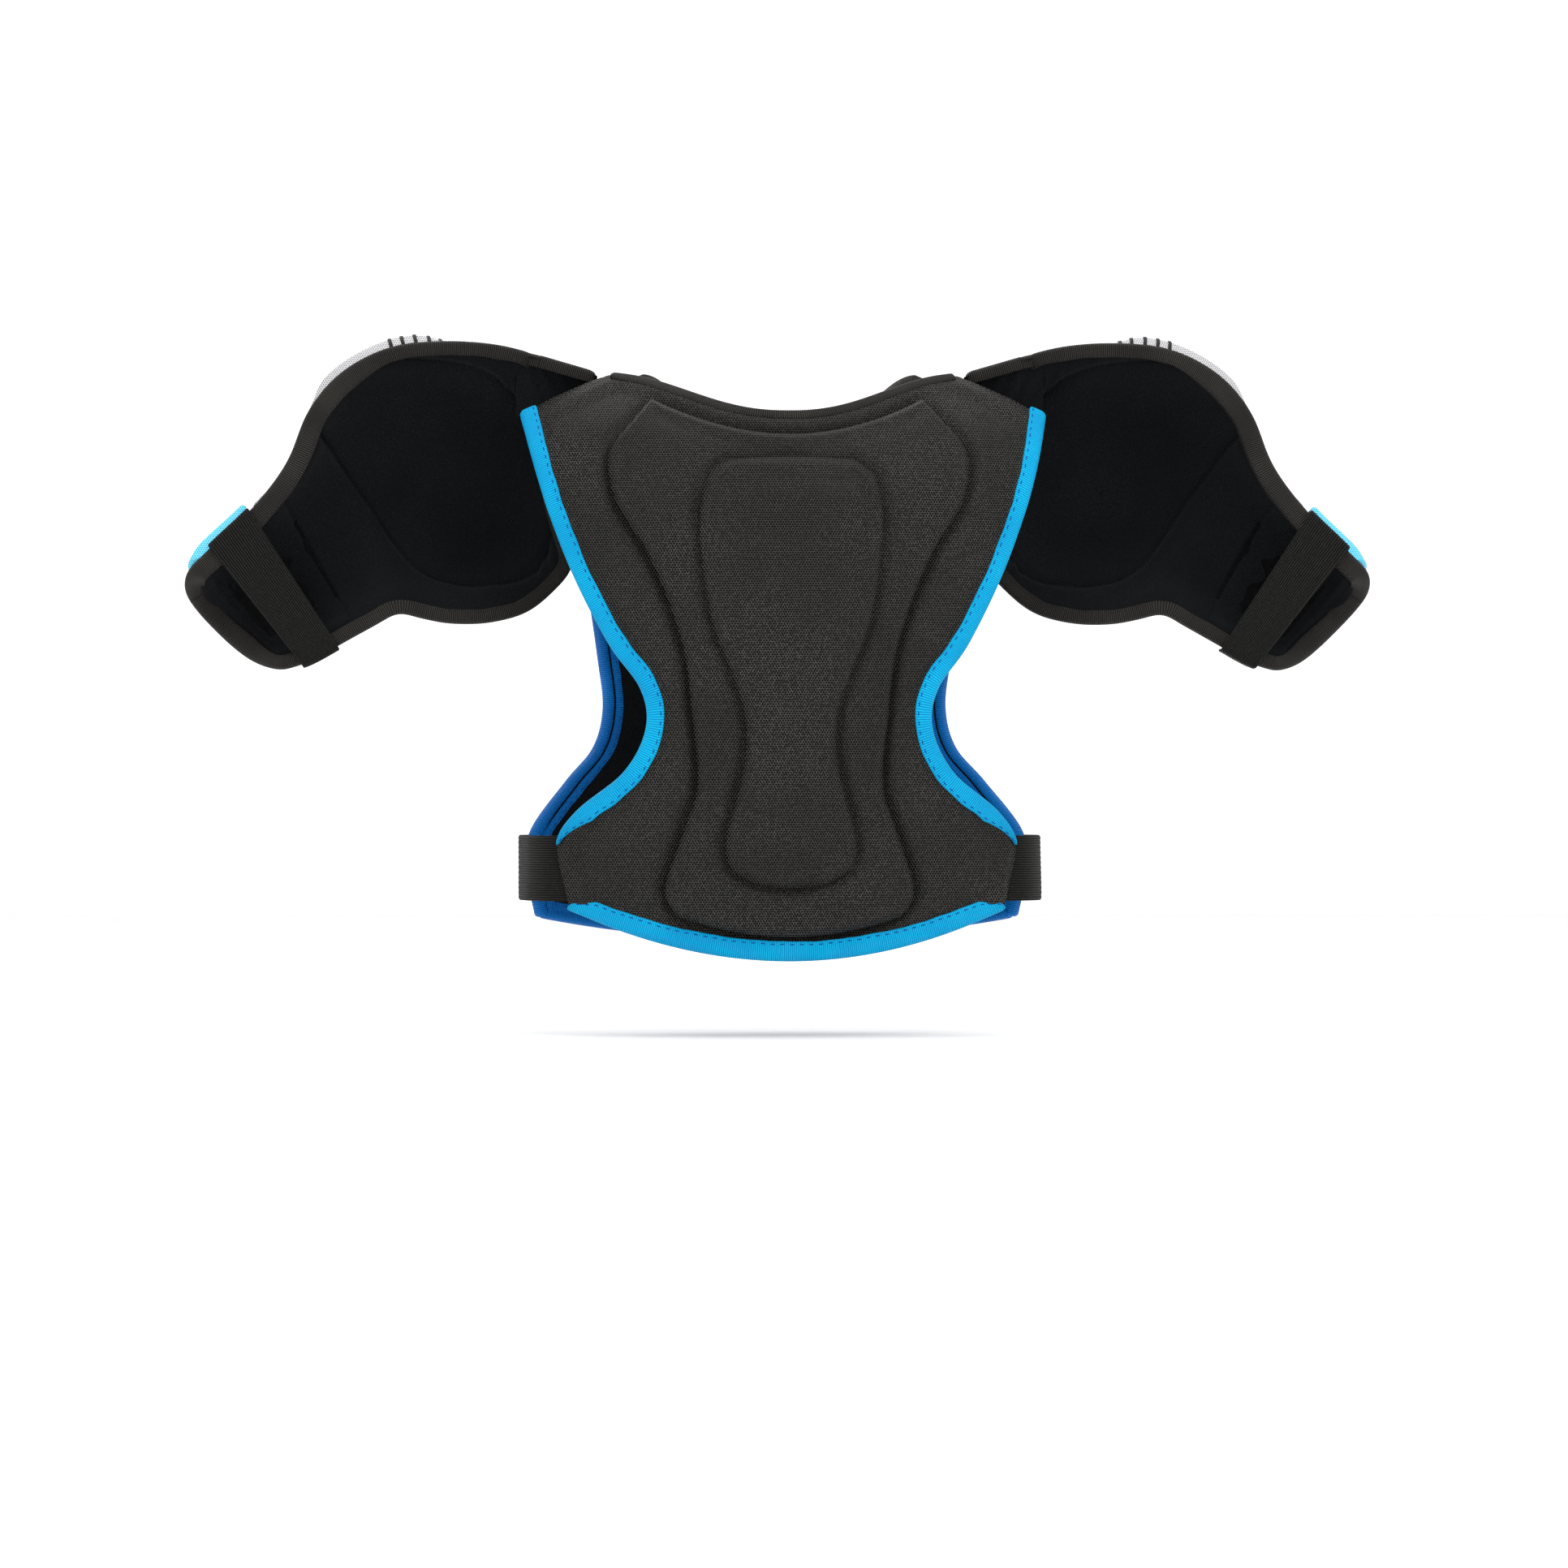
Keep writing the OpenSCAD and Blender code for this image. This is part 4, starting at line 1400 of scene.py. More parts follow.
@dataclass
class ShoulderFittings(OneSide):
    """What joins the two panels on one side: the yoke, the waist elastic, its patch and its tab."""

    yoke_t: float = 5.6
    elastic_w: float = 40
    elastic_t: float = 1.6

    def build(self) -> None:
        """Build this side's fittings."""
        self.build_yoke()
        self.build_elastic()
        self.build_patch_and_tab()

    def build_yoke(self) -> None:
        """Build the padded saddle over the shoulder."""
        u, v = lattice(np.linspace(0.0, 0.9, 60), crowded(46) * 0.42 + 0.58)
        form = YokeForm()
        span = (1 - np.abs((v - 0.58) / 0.42)) * 32
        ends = np.minimum(u * 50, (0.9 - u) * 55)
        height = 0.8 + (self.yoke_t - 0.9) * dome(np.minimum(span, ends), 6) + 0.6 * ease(span, 3, 20)
        height += 0.25 * np.sin(u * 60) * ease(span, 2, 9)
        obj = shell(self.name("padded_yoke"), form.raised(u, v, 0.2), form.raised(u, v, height), self.mirror)
        self.wardrobe.dress(obj, "black_mesh")
        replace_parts(obj, self.name("shoulder_yoke"))
        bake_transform(obj)
        log.info("%s", obj.name)

    def build_elastic(self) -> None:
        """Build the waist elastic from the back's edge round to the chest."""
        path = spline(WAIST_PATH, np.linspace(0, 7, 90))
        path = np.concatenate([[path[0] - 2.2 * (path[1] - path[0])], path])
        step = unit(np.gradient(path, axis=0))
        side = np.stack([step[:, 1], -step[:, 0]], -1) * -1
        centre = np.concatenate([path, np.full((len(path), 1), -297.0)], 1)
        up = np.tile([0.0, 0.0, 1.0], (len(path), 1))
        out = np.concatenate([side, np.zeros((len(path), 1))], 1)
        half, t = self.elastic_w / 2, self.elastic_t / 2
        count = 27
        row = np.linspace(-half, half, count)
        swell = t + 0.25 * (np.arange(count) % 2)
        swell[[0, -1]] = t * 0.35
        profile = np.concatenate(
            [np.stack([row, swell], -1), np.stack([row[::-1], -swell[::-1]], -1)]
        )
        wave = 0.5 * np.sin(np.linspace(0, 5, len(path)))
        profiles = np.broadcast_to(profile, (len(path), *profile.shape)).copy()
        profiles[..., 1] += wave[:, None] * np.cos(np.linspace(0, math.pi, profile.shape[0]) * 2)[None]
        obj = sweep(self.name("waist_webbing"), centre, up, out, profiles, mirror=self.mirror)
        self.wardrobe.dress(obj, "black_elastic")
        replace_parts(obj, self.name("waist_elastic"))
        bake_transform(obj)
        log.info("%s", obj.name)

    def build_patch_and_tab(self) -> None:
        """Build the loop patch on the chest and the hook tab pressed on it."""
        form = FasteningForm()
        for name, node, body, slot, span, reach, low, high in (
            ("loop_pile_patch", "loop_patch", "chest", "hook_and_loop", (0, 0.95), 1.0, 9.4, 11.9),
            ("waist_hook_tab", "waist_tab", self.name("waist_tab_body"), "black_elastic",
             (0.15, 1.0), 0.909, 12.5, 14.9),
        ):
            u, v = lattice(shares(60, 1.7) * (span[1] - span[0]) + span[0], crowded(44, 1.6) * reach)
            edge = np.minimum(
                np.minimum(u - span[0], span[1] - u) * 58, (reach - np.abs(v)) * form.half_h
            )
            top = low + (high - low) * dome(edge, 1.2)
            top = top - 0.45 * ridge(edge - 3.2, 0.7)
            obj = shell(self.name(name), form.raised(u, v, low), form.raised(u, v, top), self.mirror)
            self.wardrobe.dress(obj, slot)
            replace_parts(obj, self.name(node))
            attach(obj, body)
            log.info("%s", obj.name)


# --- arm guards ---


@dataclass(frozen=True)
class GuardForm(ArmForm):
    """A layer of an arm guard, with rounded corners where its ends meet its edges."""

    start: float = 0
    end: float = 9
    lip: float = 0
    bulge: float = 0
    bulge_run: float = 14
    spread_top: float = 0
    spread_from: float = 1.2
    spread_to: float = 4.6
    start_corner: float = 0.11
    end_corner: float = 0.2
    corner_reach: float = 0.45

    def corner(self, u: Array) -> Array:
        """Give the share of the width that the rounded corners take."""
        near = np.clip((self.start + self.corner_reach - u) / self.corner_reach, 0, 1)
        far = np.clip((u - self.end + self.corner_reach) / self.corner_reach, 0, 1)
        return self.start_corner * (1 - np.sqrt(1 - near**2)) + self.end_corner * (1 - np.sqrt(1 - far**2))

    def layer(self, u: Array, w: Array) -> Array:
        """Give the layer's points, where w runs over its whole width."""
        r = spline(ARM_RIBS, u)
        upper, lower = r[..., 0:3], r[..., 3:6]
        width = np.linalg.norm(upper - lower, axis=-1)
        hump = ease(u, self.spread_from, self.spread_from + 0.9) * (
            1 - ease(u, self.spread_to - 0.7, self.spread_to + 0.2)
        )
        top = self.spread_top * hump * dome(w * width, 3) - self.inset
        share = -top / width + w * (1 + (top - self.inset) / width)
        belly = 1 - np.abs(2 * np.clip(w, 0, 1) - 1) ** 2.6
        ends = dome(np.minimum(u - self.start, self.end - u) * 33, 16)
        p = upper + (lower - upper) * share[..., None] + ARM_AXIS * (r[..., 7] * belly)[..., None]
        crown = self.bulge * ends * dome(np.minimum(w, 1 - w) * width, self.bulge_run)
        p[..., 1] -= self.lip + r[..., 6] * belly + crown
        return p

    def point(self, u: Array, v: Array) -> Array:
        """Give the layer's points at u and v."""
        u, v = together(u, v)
        lo = self.corner(u)
        return self.layer(u, lo + (1 - 2 * lo) * v)

    def normal(self, u: Array, v: Array) -> Array:
        """Give the outward normals, worked out before the corners are rounded."""
        u, v = together(u, v)
        lo = self.corner(u)
        w = np.clip(lo + (1 - 2 * lo) * v, 0.02, 0.98)
        e = 0.006
        uu = np.clip(u, self.start + 0.2, self.end - 0.2)
        n = unit(
            np.cross(
                self.layer(uu + e, w) - self.layer(uu - e, w), self.layer(uu, w + e) - self.layer(uu, w - e)
            )
        )
        return n * np.where(n[..., 1] <= 0, 1, -1)[..., None]


PAD_SEAM = (
    (290, -21), (278, -39), (256, -70), (236, -99), (222, -114), (202, -122), (177, -123), (152, -116),
    (141, -95), (136, -60), (143, -28), (163, -6), (180, 8), (200, 14), (228, 16), (255, 14), (276, 6),
    (288, -7),
)


@dataclass
class ArmGuard(OneSide):
    """One arm guard: the shoulder cap and the biceps guard, joined by their lining and rim."""

    rim_w: float = 9
    rim_depth: float = 7.5
    elbow_rim_w: float = 12.5
    strap_start: float = 7.15
    strap_end: float = 8.15
    stripes: tuple[float, ...] = (2.06, 2.26, 2.5, 2.73, 2.95)
    tongue_start: float = 113.5
    tongue_slope: float = 0.29
    tongue_crest: float = 146
    flap_end: float = 148
    cap_tongue_start: float = 139.5
    cap_tongue_end: float = 163
    cap_tongue_tuck: float = 0.25
    tongue_tape_end: float = 160

    def across_fold(self, obj: Piece) -> None:
        """Bake a piece's placement into its mesh; it is not made to bend between the cap and the biceps
        guard.
        """
        self.name("cap")
        self.name("biceps")
        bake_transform(obj)

    def build(self) -> None:
        """Build the whole arm guard."""
        self.build_rim()
        self.build_lining()
        self.build_inner_pad()
        self.build_cap_cover()
        self.build_stripes()
        self.build_biceps()
        self.build_strap()
        self.build_flap()
        self.wardrobe.dress(bpy.data.objects[self.name("cap_shell")], "stiff_plate")

    def build_rim(self) -> None:
        """Fold the rim's tape round the edge of the guard."""
        form = GuardForm()
        t = (1 - np.cos(np.linspace(0, math.pi, 190))) / 2
        across = np.linspace(0, 1, 50)
        us = np.concatenate([9 - 9 * t[:-1], np.zeros(49), 9 * t[:-1], np.full(49, 9.0)])
        vs = np.concatenate([np.zeros(189), across[:-1], np.ones(189), 1 - across[:-1]])
        points = form.point(us, vs)
        for _ in range(14):
            points = (np.roll(points, 1, 0) + 2 * points + np.roll(points, -1, 0)) / 4
        step = np.roll(points, -1, 0) - np.roll(points, 1, 0)
        step[:, 1] = 0
        along = unit(step)
        into = np.stack([-along[:, 2], np.zeros(len(along)), along[:, 0]], -1)
        middle = points.mean(0)
        if np.einsum("ij,ij->i", into, middle - points).sum() < 0:
            into = -into
        front = np.tile([0.0, -1.0, 0.0], (len(points), 1))
        profile = tape_profile(self.rim_w, self.rim_depth)
        profiles = np.broadcast_to(profile, (len(points), *profile.shape)).copy()
        wide = 1 + (self.elbow_rim_w / self.rim_w - 1) * ease(points[:, 0] + 0.35 * points[:, 2], 250, 275)
        profiles[..., 0] *= wide[:, None]
        wander = 0.3 * wave_noise(points[:, 0], points[:, 2], 30, 3)
        profiles[..., 0] += wander[:, None] * (profile[:, 0] > 5)
        obj = sweep(self.name("arm_rim_tape"), points, into, front, profiles, closed=True, mirror=self.mirror)
        self.wardrobe.dress(obj, "black_binding")
        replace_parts(obj, self.name("cap_binding"), self.name("biceps_binding"))
        self.across_fold(obj)
        row = points + into * (self.rim_w * wide - 1.6)[:, None] + front * -0.95
        thread = stitches(self.name("arm_rim_stitches"), row, -front, 2.4, 1.7, 0.5, self.mirror)
        self.wardrobe.dress(thread, "black_binding", "black_thread")
        self.across_fold(thread)
        log.info("%s", obj.name)

    def oval(self, p: Array) -> Array:
        """Measure how far places on the lining are outside the seam round the wide pad, in millimetres."""
        rows = np.array(PAD_SEAM, float)
        count = len(rows)
        t = np.linspace(0, count, 140, endpoint=False)
        outline = spline(np.concatenate([rows[-1:], rows, rows[:3]]), t + 1)
        return signed_distance(p[..., 0], p[..., 2], outline)

    def lining_form(self) -> GuardForm:
        """Give the face that the lining lies on."""
        return GuardForm(inset=self.rim_w - 2.5, start=0.26, end=8.7, lip=2.5, corner_reach=0.3)

    def build_lining(self) -> None:
        """Build the padded lining of the whole hollow."""
        form = self.lining_form()
        u, v = lattice(np.linspace(0.26, 8.7, 260), crowded(130, 1.35) / 2 + 0.5)
        out = self.oval(form.point(u, v))
        edge = np.minimum(np.minimum(v, 1 - v) * 140, np.minimum(u - 0.26, 8.7 - u) * 33)
        height = 0.4 + 2.2 * dome(edge, 9)
        towards_elbow = 0.35 + 0.65 * ease(u, 3.6, 4.8)
        height += 4.2 * towards_elbow * ridge(np.maximum(out - 6, 0), 16) * ease(out, 0, 7) * ease(edge, 0, 9)
        height -= 2.4 * ridge(np.maximum(out, 0), 2.4)
        shoulder = 1 - ease(u, 0.5, 1.25)
        height += 0.8 * shoulder * np.sin(u * 26 + 2.5 * np.sin(v * 9)) * ease(edge, 2, 9)
        neck = ridge(u - 5.9, 0.5) * ridge(v - 0.62, 0.2)
        crinkle = np.sin(u * 46 + 5 * np.sin(v * 7) + 2 * wave_noise(u, v, 0.4, 2))
        height += 0.45 * neck * crinkle * ease(edge, 1, 8)
        band = ease(u, 6.5, 6.62)
        height += 1.3 * band * ridge(u - 6.62, 0.5) * ease(edge, 1, 4) - 0.9 * ridge(u - 6.5, 0.045)
        height += 0.9 * ridge(u - 8.42, 0.05) * ease(edge, 0, 4)
        height += 0.5 * wave_noise(u * 33, v * 140, 40, 7) * ease(edge, 3, 12)
        inner = form.raised(u, v, -height)
        outer = form.raised(u, v, 1.2)
        obj = shell(self.name("arm_lining"), outer, inner, self.mirror)
        self.wardrobe.dress(obj, "black_lining")
        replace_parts(obj, self.name("cap_lining"), self.name("biceps_lining"))
        self.across_fold(obj)
        log.info("%s", obj.name)

    def build_inner_pad(self) -> None:
        """Build the oval pad in the middle of the cap's lining."""
        form = self.lining_form()
        fine = np.linspace(0, 1, 240)
        rows = shares(100, 1.5)
        us = np.linspace(0.3, 6, 300)
        deep = self.oval(form.point(*lattice(us, fine))) < -0.4
        inside_us = us[deep.any(1)]
        us = inside_us[0] + (inside_us[-1] - inside_us[0]) * rows
        deep = self.oval(form.point(*lattice(us, fine))) < 0
        low = np.array([fine[row][0] if row.any() else np.nan for row in deep])
        high = np.array([fine[row][-1] if row.any() else np.nan for row in deep])
        known = ~np.isnan(low)
        low, high = np.interp(us, us[known], low[known]), np.interp(us, us[known], high[known])
        for _ in range(3):
            low[1:-1] = (low[:-2] + 2 * low[1:-1] + low[2:]) / 4
            high[1:-1] = (high[:-2] + 2 * high[1:-1] + high[2:]) / 4
        across = shares(84, 1.5)
        u = np.broadcast_to(us[:, None], (len(us), len(across)))
        v = low[:, None] + (high - low)[:, None] * across
        inside = np.maximum(-self.oval(form.point(u, v)), 0)
        height = -1.0 + 3.4 * dome(inside, 6) + 0.8 * ease(inside, 4, 30)
        height += 0.35 * wave_noise(u * 33, v * 140, 45, 15) * ease(inside, 3, 9)
        obj = shell(
            self.name("cap_oval_pad"), form.raised(u, v, 1.6), form.raised(u, v, -height), self.mirror
        )
        held = np.concatenate([np.ones(u.size, bool), (inside < 1.2).ravel()])
        inflated(obj, held, 2.5, 1.0)
        self.wardrobe.dress(obj, "black_lining")
        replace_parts(obj, self.name("cap_inner_pad"))
        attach(obj, self.name("cap"))
        log.info("%s", obj.name)

    def cap_form(self) -> GuardForm:
        """Give the outer face of the shoulder cap."""
        return GuardForm(
            start=0.06, end=5.5, lip=3.5, bulge=14.5, bulge_run=9, spread_top=8.4, spread_from=1.6,
            spread_to=5.0, inset=1.0, end_corner=0.03, corner_reach=0.4,
        )

    def build_cap_cover(self) -> None:
        """Build the cap's padded outer cover."""
        form = self.cap_form()
        u, v = lattice(shares(120, 1.5) * 5.44 + 0.06, shares(120, 1.7))
        outer = form.point(u, v)
        edge = np.minimum(v, 1 - v) * 150
        puff = 1.2 * ease(edge, 8, 40) * ease(u, 0.3, 1.0) * (1 - ease(u, 4.7, 5.4))
        for seam in (1.35, 4.35):
            puff = puff - 1.3 * ridge((u - seam) * 33, 2.0) * ease(edge, 10, 22)
        outer = outer + form.normal(u, v) * puff[..., None]
        inner = replace(form, bulge=6.0, spread_top=2.0, lip=2.4).point(u, v)
        obj = shell(self.name("cap_padded_cover"), inner, outer, self.mirror)
        self.wardrobe.dress(obj, "white_cover")
        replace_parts(obj, self.name("cap_cover"), self.name("cap_foam"))
        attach(obj, self.name("cap"))
        log.info("%s", obj.name)

    def build_stripes(self) -> None:
        """Sew the short black stripes on the cap's upper edge."""
        form = self.cap_form()
        section = np.array([(-1.1, -0.5), (-1.1, 0.4), (-0.8, 0.7), (0.8, 0.7), (1.1, 0.4), (1.1, -0.5)])
        for k, at in enumerate(self.stripes):
            vs = (0.085 - 0.008 * k) * np.linspace(0, 1, 40) ** 3
            path = form.point(np.full(40, at), vs)
            across = unit(form.point(np.full(40, at + 0.03), vs) - form.point(np.full(40, at - 0.03), vs))
            normals = unit(np.cross(np.gradient(path, axis=0), across))
            normals = normals * (1 if normals[-1, 1] < 0 else -1)
            obj = sweep(self.name(f"cap_stripe_{k + 1}"), path, across, normals, section, mirror=self.mirror)
            self.wardrobe.dress(obj, "black_binding")
            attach(obj, self.name("cap"))

    def build_biceps(self) -> None:
        """Build the biceps guard's foam and its outer patch."""
        body = self.name("biceps")
        foam = GuardForm(
            start=6.0, end=8.98, lip=3, bulge=7, inset=1.0, start_corner=0.03, end_corner=0.2,
            corner_reach=0.4,
        )
        u, v = lattice(shares(80, 1.5) * 2.98 + 6.0, shares(90, 1.7))
        inner = replace(foam, bulge=1.5, lip=2.0, inset=2.5).point(u, v)
        obj = shell(self.name("biceps_padded_foam"), inner, foam.point(u, v), self.mirror)
        self.wardrobe.dress(obj, "black_lining")
        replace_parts(obj, self.name("biceps_foam"))
        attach(obj, body)
        for what, slot, start, end, spread, replaced in (
            ("biceps_white_band", "white_cover", 6.12, 7.14, 6.4, ()),
            ("biceps_padded_guard", "light_blue_cover", 7.16, 8.66, 9.8, (self.name("biceps_guard"),)),
        ):
            self.build_guard_patch(what, slot, start, end, spread, replaced)
        lining = self.lining_form()
        u, v = lattice(np.linspace(6.45, 8.3, 60), np.linspace(0.2, 0.8, 50))
        edge = np.minimum(np.minimum(u - 6.45, 8.3 - u) * 30, np.minimum(v - 0.2, 0.8 - v) * 100)
        height = 2.3 + 0.9 * dome(edge, 1.5) - 0.5 * ridge(edge - 3, 0.8)
        backing, pile = lining.raised(u, v, 0), lining.raised(u, v, -height)
        obj = shell(self.name("biceps_loop_pile"), backing, pile, self.mirror)
        self.wardrobe.dress(obj, "hook_and_loop")
        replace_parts(obj, self.name("biceps_loop"))
        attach(obj, body)
        log.info("%s", self.name("biceps"))

    def build_guard_patch(
        self, what: str, slot: str, start: float, end: float, spread: float, replaced: tuple[str, ...]
    ) -> None:
        """Build one padded patch on the outside of the biceps guard.

        Args:
            what: The patch's name.
            slot: Its material slot.
            start: Where it starts along the ribs.
            end: Where it ends.
            spread: How far it stands out beyond the rim's upper edge.
            replaced: The CAD nodes that it stands for.
        """
        guard = GuardForm(
            start=start, end=end, lip=3.5, bulge=11.5, inset=0.5, spread_top=spread,
            spread_from=max(start - 0.75, 6.35), spread_to=end + 0.2, start_corner=0.05, end_corner=0.09,
            corner_reach=0.3,
        )
        u, v = lattice(shares(70, 1.6) * (end - start) + start, shares(90, 1.6) * 0.7)
        low_edge = dome((0.7 - v) * 100, 6)
        low = replace(guard, bulge=6.0, spread_top=2.0, lip=3.0).point(u, v)
        high = low + (guard.point(u, v) - low) * low_edge[..., None]
        obj = shell(self.name(what), low, high, self.mirror)
        self.wardrobe.dress(obj, slot)
        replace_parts(obj, *replaced)
        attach(obj, self.name("biceps"))

    def build_strap(self) -> None:
        """Build the elastic across the sleeve, and its hook tab."""
        rim = GuardForm()
        us = np.linspace(self.strap_start, self.strap_end, 33)
        before, after = np.linspace(-0.14, 0, 12)[:-1], np.linspace(1, 1.14, 12)[1:]
        s = np.concatenate([before, np.linspace(0, 1, 50), after])
        rows = []
        for u in us:
            a, b = rim.point(u, 0.0), rim.point(u, 1.0)
            length = np.linalg.norm(b - a)
            inside = np.clip(s, -0.016, 1.016)
            over = np.abs(s - np.clip(s, 0, 1)) * length
            p = a + (b - a) * inside[:, None]
            p[:, 1] += 3.2 - 6.0 * np.clip(s, 0, 1) * (1 - np.clip(s, 0, 1)) - over
            rows.append(p)
        grid = np.array(rows)
        normal = unit(np.cross(np.gradient(grid, axis=0), np.gradient(grid, axis=1)))
        normal *= np.where(normal[len(us) // 2, len(s) // 2, 1] > 0, 1, -1)
        rib = 0.8 + 0.22 * (np.arange(33) % 2)
        rib[[0, -1]] = 0.25
        obj = shell(
            self.name("biceps_webbing"),
            grid - normal * rib[:, None, None],
            grid + normal * rib[:, None, None],
            self.mirror,
        )
        turned = np.empty(len(obj.data.loops) * 2, np.float32)
        obj.data.uv_layers[0].data.foreach_get("uv", turned)
        obj.data.uv_layers[0].data.foreach_set("uv", turned.reshape(-1, 2)[:, ::-1].ravel())
        self.wardrobe.dress(obj, "black_elastic")
        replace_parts(obj, self.name("biceps_strap"))
        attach(obj, self.name("biceps"))
        sheet = ArmForm(inset=8.5)
        u, v = lattice(np.linspace(self.strap_start, self.strap_end, 30), np.linspace(0.8, 0.97, 24))
        edge = np.minimum(
            np.minimum(u - self.strap_start, self.strap_end - u) * 27, np.minimum(v - 0.8, 0.97 - v) * 95
        )
        top = 8.8 + 2.2 * dome(edge, 1.0) - 0.4 * ridge(edge - 2.6, 0.6)
        low, high = sheet.raised(u, v, 8.7), sheet.raised(u, v, top)
        obj = shell(self.name("biceps_hook_tab"), low, high, self.mirror)
        self.wardrobe.dress(obj, "black_elastic")
        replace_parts(obj, self.name("biceps_tab"))
        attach(obj, self.name("biceps_tab_body"))
        log.info("%s", self.name("biceps strap"))

    def build_flap(self) -> None:
        """Build the tongue that the cap hangs from, in one length on each side of its hinge."""
        self.build_tongue(self.tongue_start, self.flap_end, "padded_flap", "flap_rim_tape", "flap", 0)
        self.build_tongue(
            self.cap_tongue_start, self.cap_tongue_end, "cap_tongue", "cap_tongue_tape", "cap",
            self.cap_tongue_tuck,
        )
        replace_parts(bpy.data.objects[self.name("padded_flap")], self.name("shoulder_flap"))

    def tongue_top(self, x: Array, tuck: float) -> Array:
        """Give the height of the tongue's upper edge, which rises and then droops."""
        droop = 0.0035 * np.maximum(x - self.tongue_crest, 0) ** 2
        return 8.0 + (x - self.tongue_start) * self.tongue_slope - droop - tuck

    def build_tongue(
        self, start: float, end: float, what: str, tape_what: str, body: str, tuck: float
    ) -> None:
        """Build one length of the tongue and of its rim tape.

        Args:
            start: The X where it starts, in millimetres.
            end: The X where it ends.
            what: The padding's name.
            tape_what: The tape's name.
            body: The body that carries both.
            tuck: How far it lies under the other length.
        """
        x, b = lattice(np.linspace(start, end, 60), np.linspace(0, 1, 50))
        top_z = self.tongue_top(x, tuck)
        drop = b * (24 + 14 * ease(x, 120, 150))
        y = -3.0 - tuck - 11 * (1 - np.exp(-drop / 12))
        back = np.stack([x, y, top_z - 2 - drop], -1)
        back[..., 1] += 0.5 * np.sin(x * 0.55 + drop * 0.3) * ease(drop, 2, 8)
        thickness = 4.5 - 2 * tuck + 2.5 * dome(drop, 8)
        front = back + np.stack([x * 0, -thickness, 1.2 * dome(drop, 8)], -1)
        padding = shell(self.name(what), front, back, self.mirror)
        self.wardrobe.dress(padding, "black_lining")
        xs = np.linspace(start, min(end, self.tongue_tape_end), 50)
        rise = self.tongue_top(xs, tuck)
        path = np.stack([xs, -3.5 - tuck - 1.8 * ease(xs, 138, self.tongue_tape_end), rise + 0.6], -1)
        along = unit(np.gradient(path, axis=0))
        into = np.stack([along[:, 2], np.zeros(50), -along[:, 0]], -1)
        face = np.tile([0.0, -1.0, 0.0], (50, 1))
        section = tape_profile(self.rim_w - 1 - tuck, self.rim_depth - 2 * tuck)
        slim = (0.35 if body == "flap" else 1.0, 1.0)
        tape = sweep(
            self.name(tape_what), path, into, face, section, mirror=self.mirror, taper=slim, taper_run=6
        )
        self.wardrobe.dress(tape, "black_binding")
        for obj in (padding, tape):
            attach(obj, self.name(body))
            log.info("%s", obj.name)


# --- studio ---


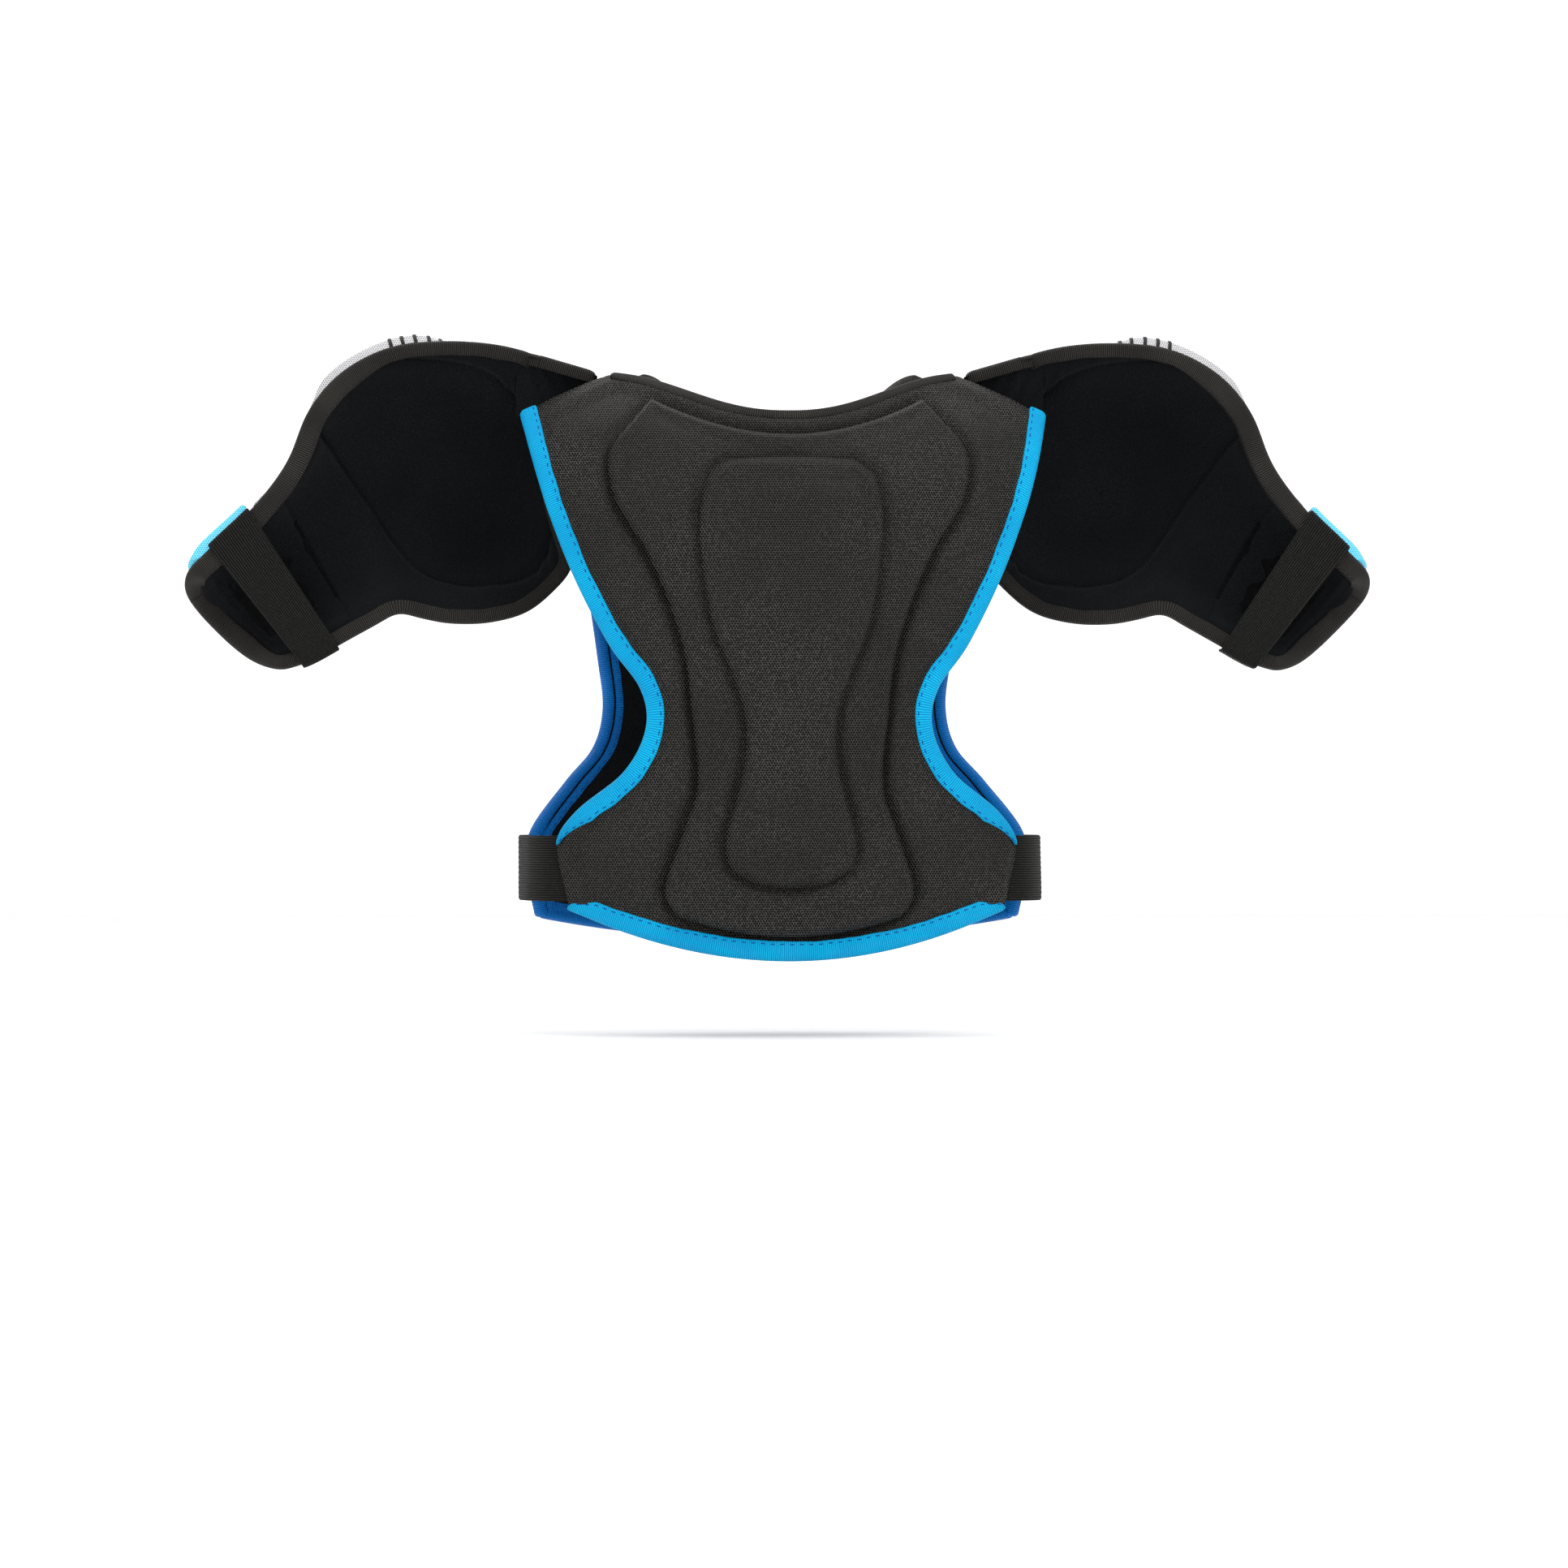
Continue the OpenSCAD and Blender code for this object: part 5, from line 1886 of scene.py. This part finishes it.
@dataclass
class Studio:
    """A pale floor that curves up behind, soft lights and the camera."""

    floor_z: float = -0.4
    target: tuple[float, float, float] = (-0.0015, 0.0, -0.2455)
    distance: float = 5.37
    turn: tuple[float, float] = (0.063, 0.998)
    lens: float = 200

    def build_camera(self) -> None:
        """Put the camera behind the pads."""
        data = bpy.data.cameras.new("camera")
        data.lens, data.sensor_width = self.lens, 36
        data.clip_end = 60
        cam = bpy.data.objects.new("camera", data)
        bpy.context.scene.collection.objects.link(cam)
        away = Vector((*self.turn, 0)).normalized()
        cam.location = Vector(self.target) + away * self.distance
        cam.rotation_euler = (-away).to_track_quat("-Z", "Y").to_euler()
        bpy.context.scene.camera = cam

    def build_floor(self) -> None:
        """Lay the floor and curve it up behind."""
        s = np.linspace(0, 1, 70)
        bend = 1.6
        flat = np.stack([9 - 17 * s, np.zeros(70)], -1)
        angle = np.linspace(0, math.pi / 2, 40)[1:]
        curve = np.stack([-8 - bend * np.sin(angle), bend * (1 - np.cos(angle))], -1)
        wall = np.stack([np.full(20, -8 - bend), bend + np.linspace(0.1, 4.5, 20)], -1)
        line = np.concatenate([flat, curve, wall])
        x = np.linspace(-9, 9, 30)
        points = np.array([[(a, y, z + self.floor_z) for a in x] for y, z in line]).reshape(-1, 3) / MM
        n = len(x)
        faces = [
            (i * n + j, i * n + j + 1, (i + 1) * n + j + 1, (i + 1) * n + j)
            for i in range(len(line) - 1)
            for j in range(n - 1)
        ]
        obj = new_piece("studio_floor", points, faces)
        obj.data.materials.append(StudioPaper("studio_paper", (0.96, 0.96, 0.96)).material())

    def build_lights(self) -> None:
        """Hang the soft lights and set the pale surroundings."""
        world = bpy.data.worlds.new("surroundings")
        world.use_nodes = True
        world.node_tree.nodes["Background"].inputs[0].default_value = (1, 1, 1, 1)
        world.node_tree.nodes["Background"].inputs[1].default_value = 0.98
        bpy.context.scene.world = world
        for name, place, size, power in (
            ("key_light", (-1.3, 2.4, 1.9), 1.6, 34),
            ("fill_light", (1.9, 2.2, 0.7), 1.6, 14),
            ("top_light", (0.0, 0.2, 2.4), 1.8, 20),
            ("front_light", (0.4, -2.6, 1.6), 1.8, 22),
            ("backdrop_light", (0.0, -5.2, 1.0), 2.5, 60),
        ):
            data = bpy.data.lights.new(name, "AREA")
            data.shape, data.size, data.energy = "DISK", size, power
            lamp = bpy.data.objects.new(name, data)
            bpy.context.scene.collection.objects.link(lamp)
            lamp.location = place
            aim = Vector((0, -9.6, 0.4)) if name == "backdrop_light" else Vector((0, 0, -0.15))
            lamp.rotation_euler = (aim - Vector(place)).to_track_quat("-Z", "Y").to_euler()


def main() -> None:
    """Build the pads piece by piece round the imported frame."""
    logging.basicConfig(level=logging.INFO, format="%(name)s: %(message)s")
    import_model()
    scene = bpy.context.scene
    scene.view_settings.view_transform = "Standard"
    studio = Studio()
    studio.build_camera()
    wardrobe = Wardrobe()
    BackAssembly(wardrobe).build()
    ChestAssembly(wardrobe).build()
    for side in Side:
        ShoulderFittings(wardrobe, side).build()
        ArmGuard(wardrobe, side).build()
    studio.build_floor()
    studio.build_lights()


if __name__ == "__main__":
    main()
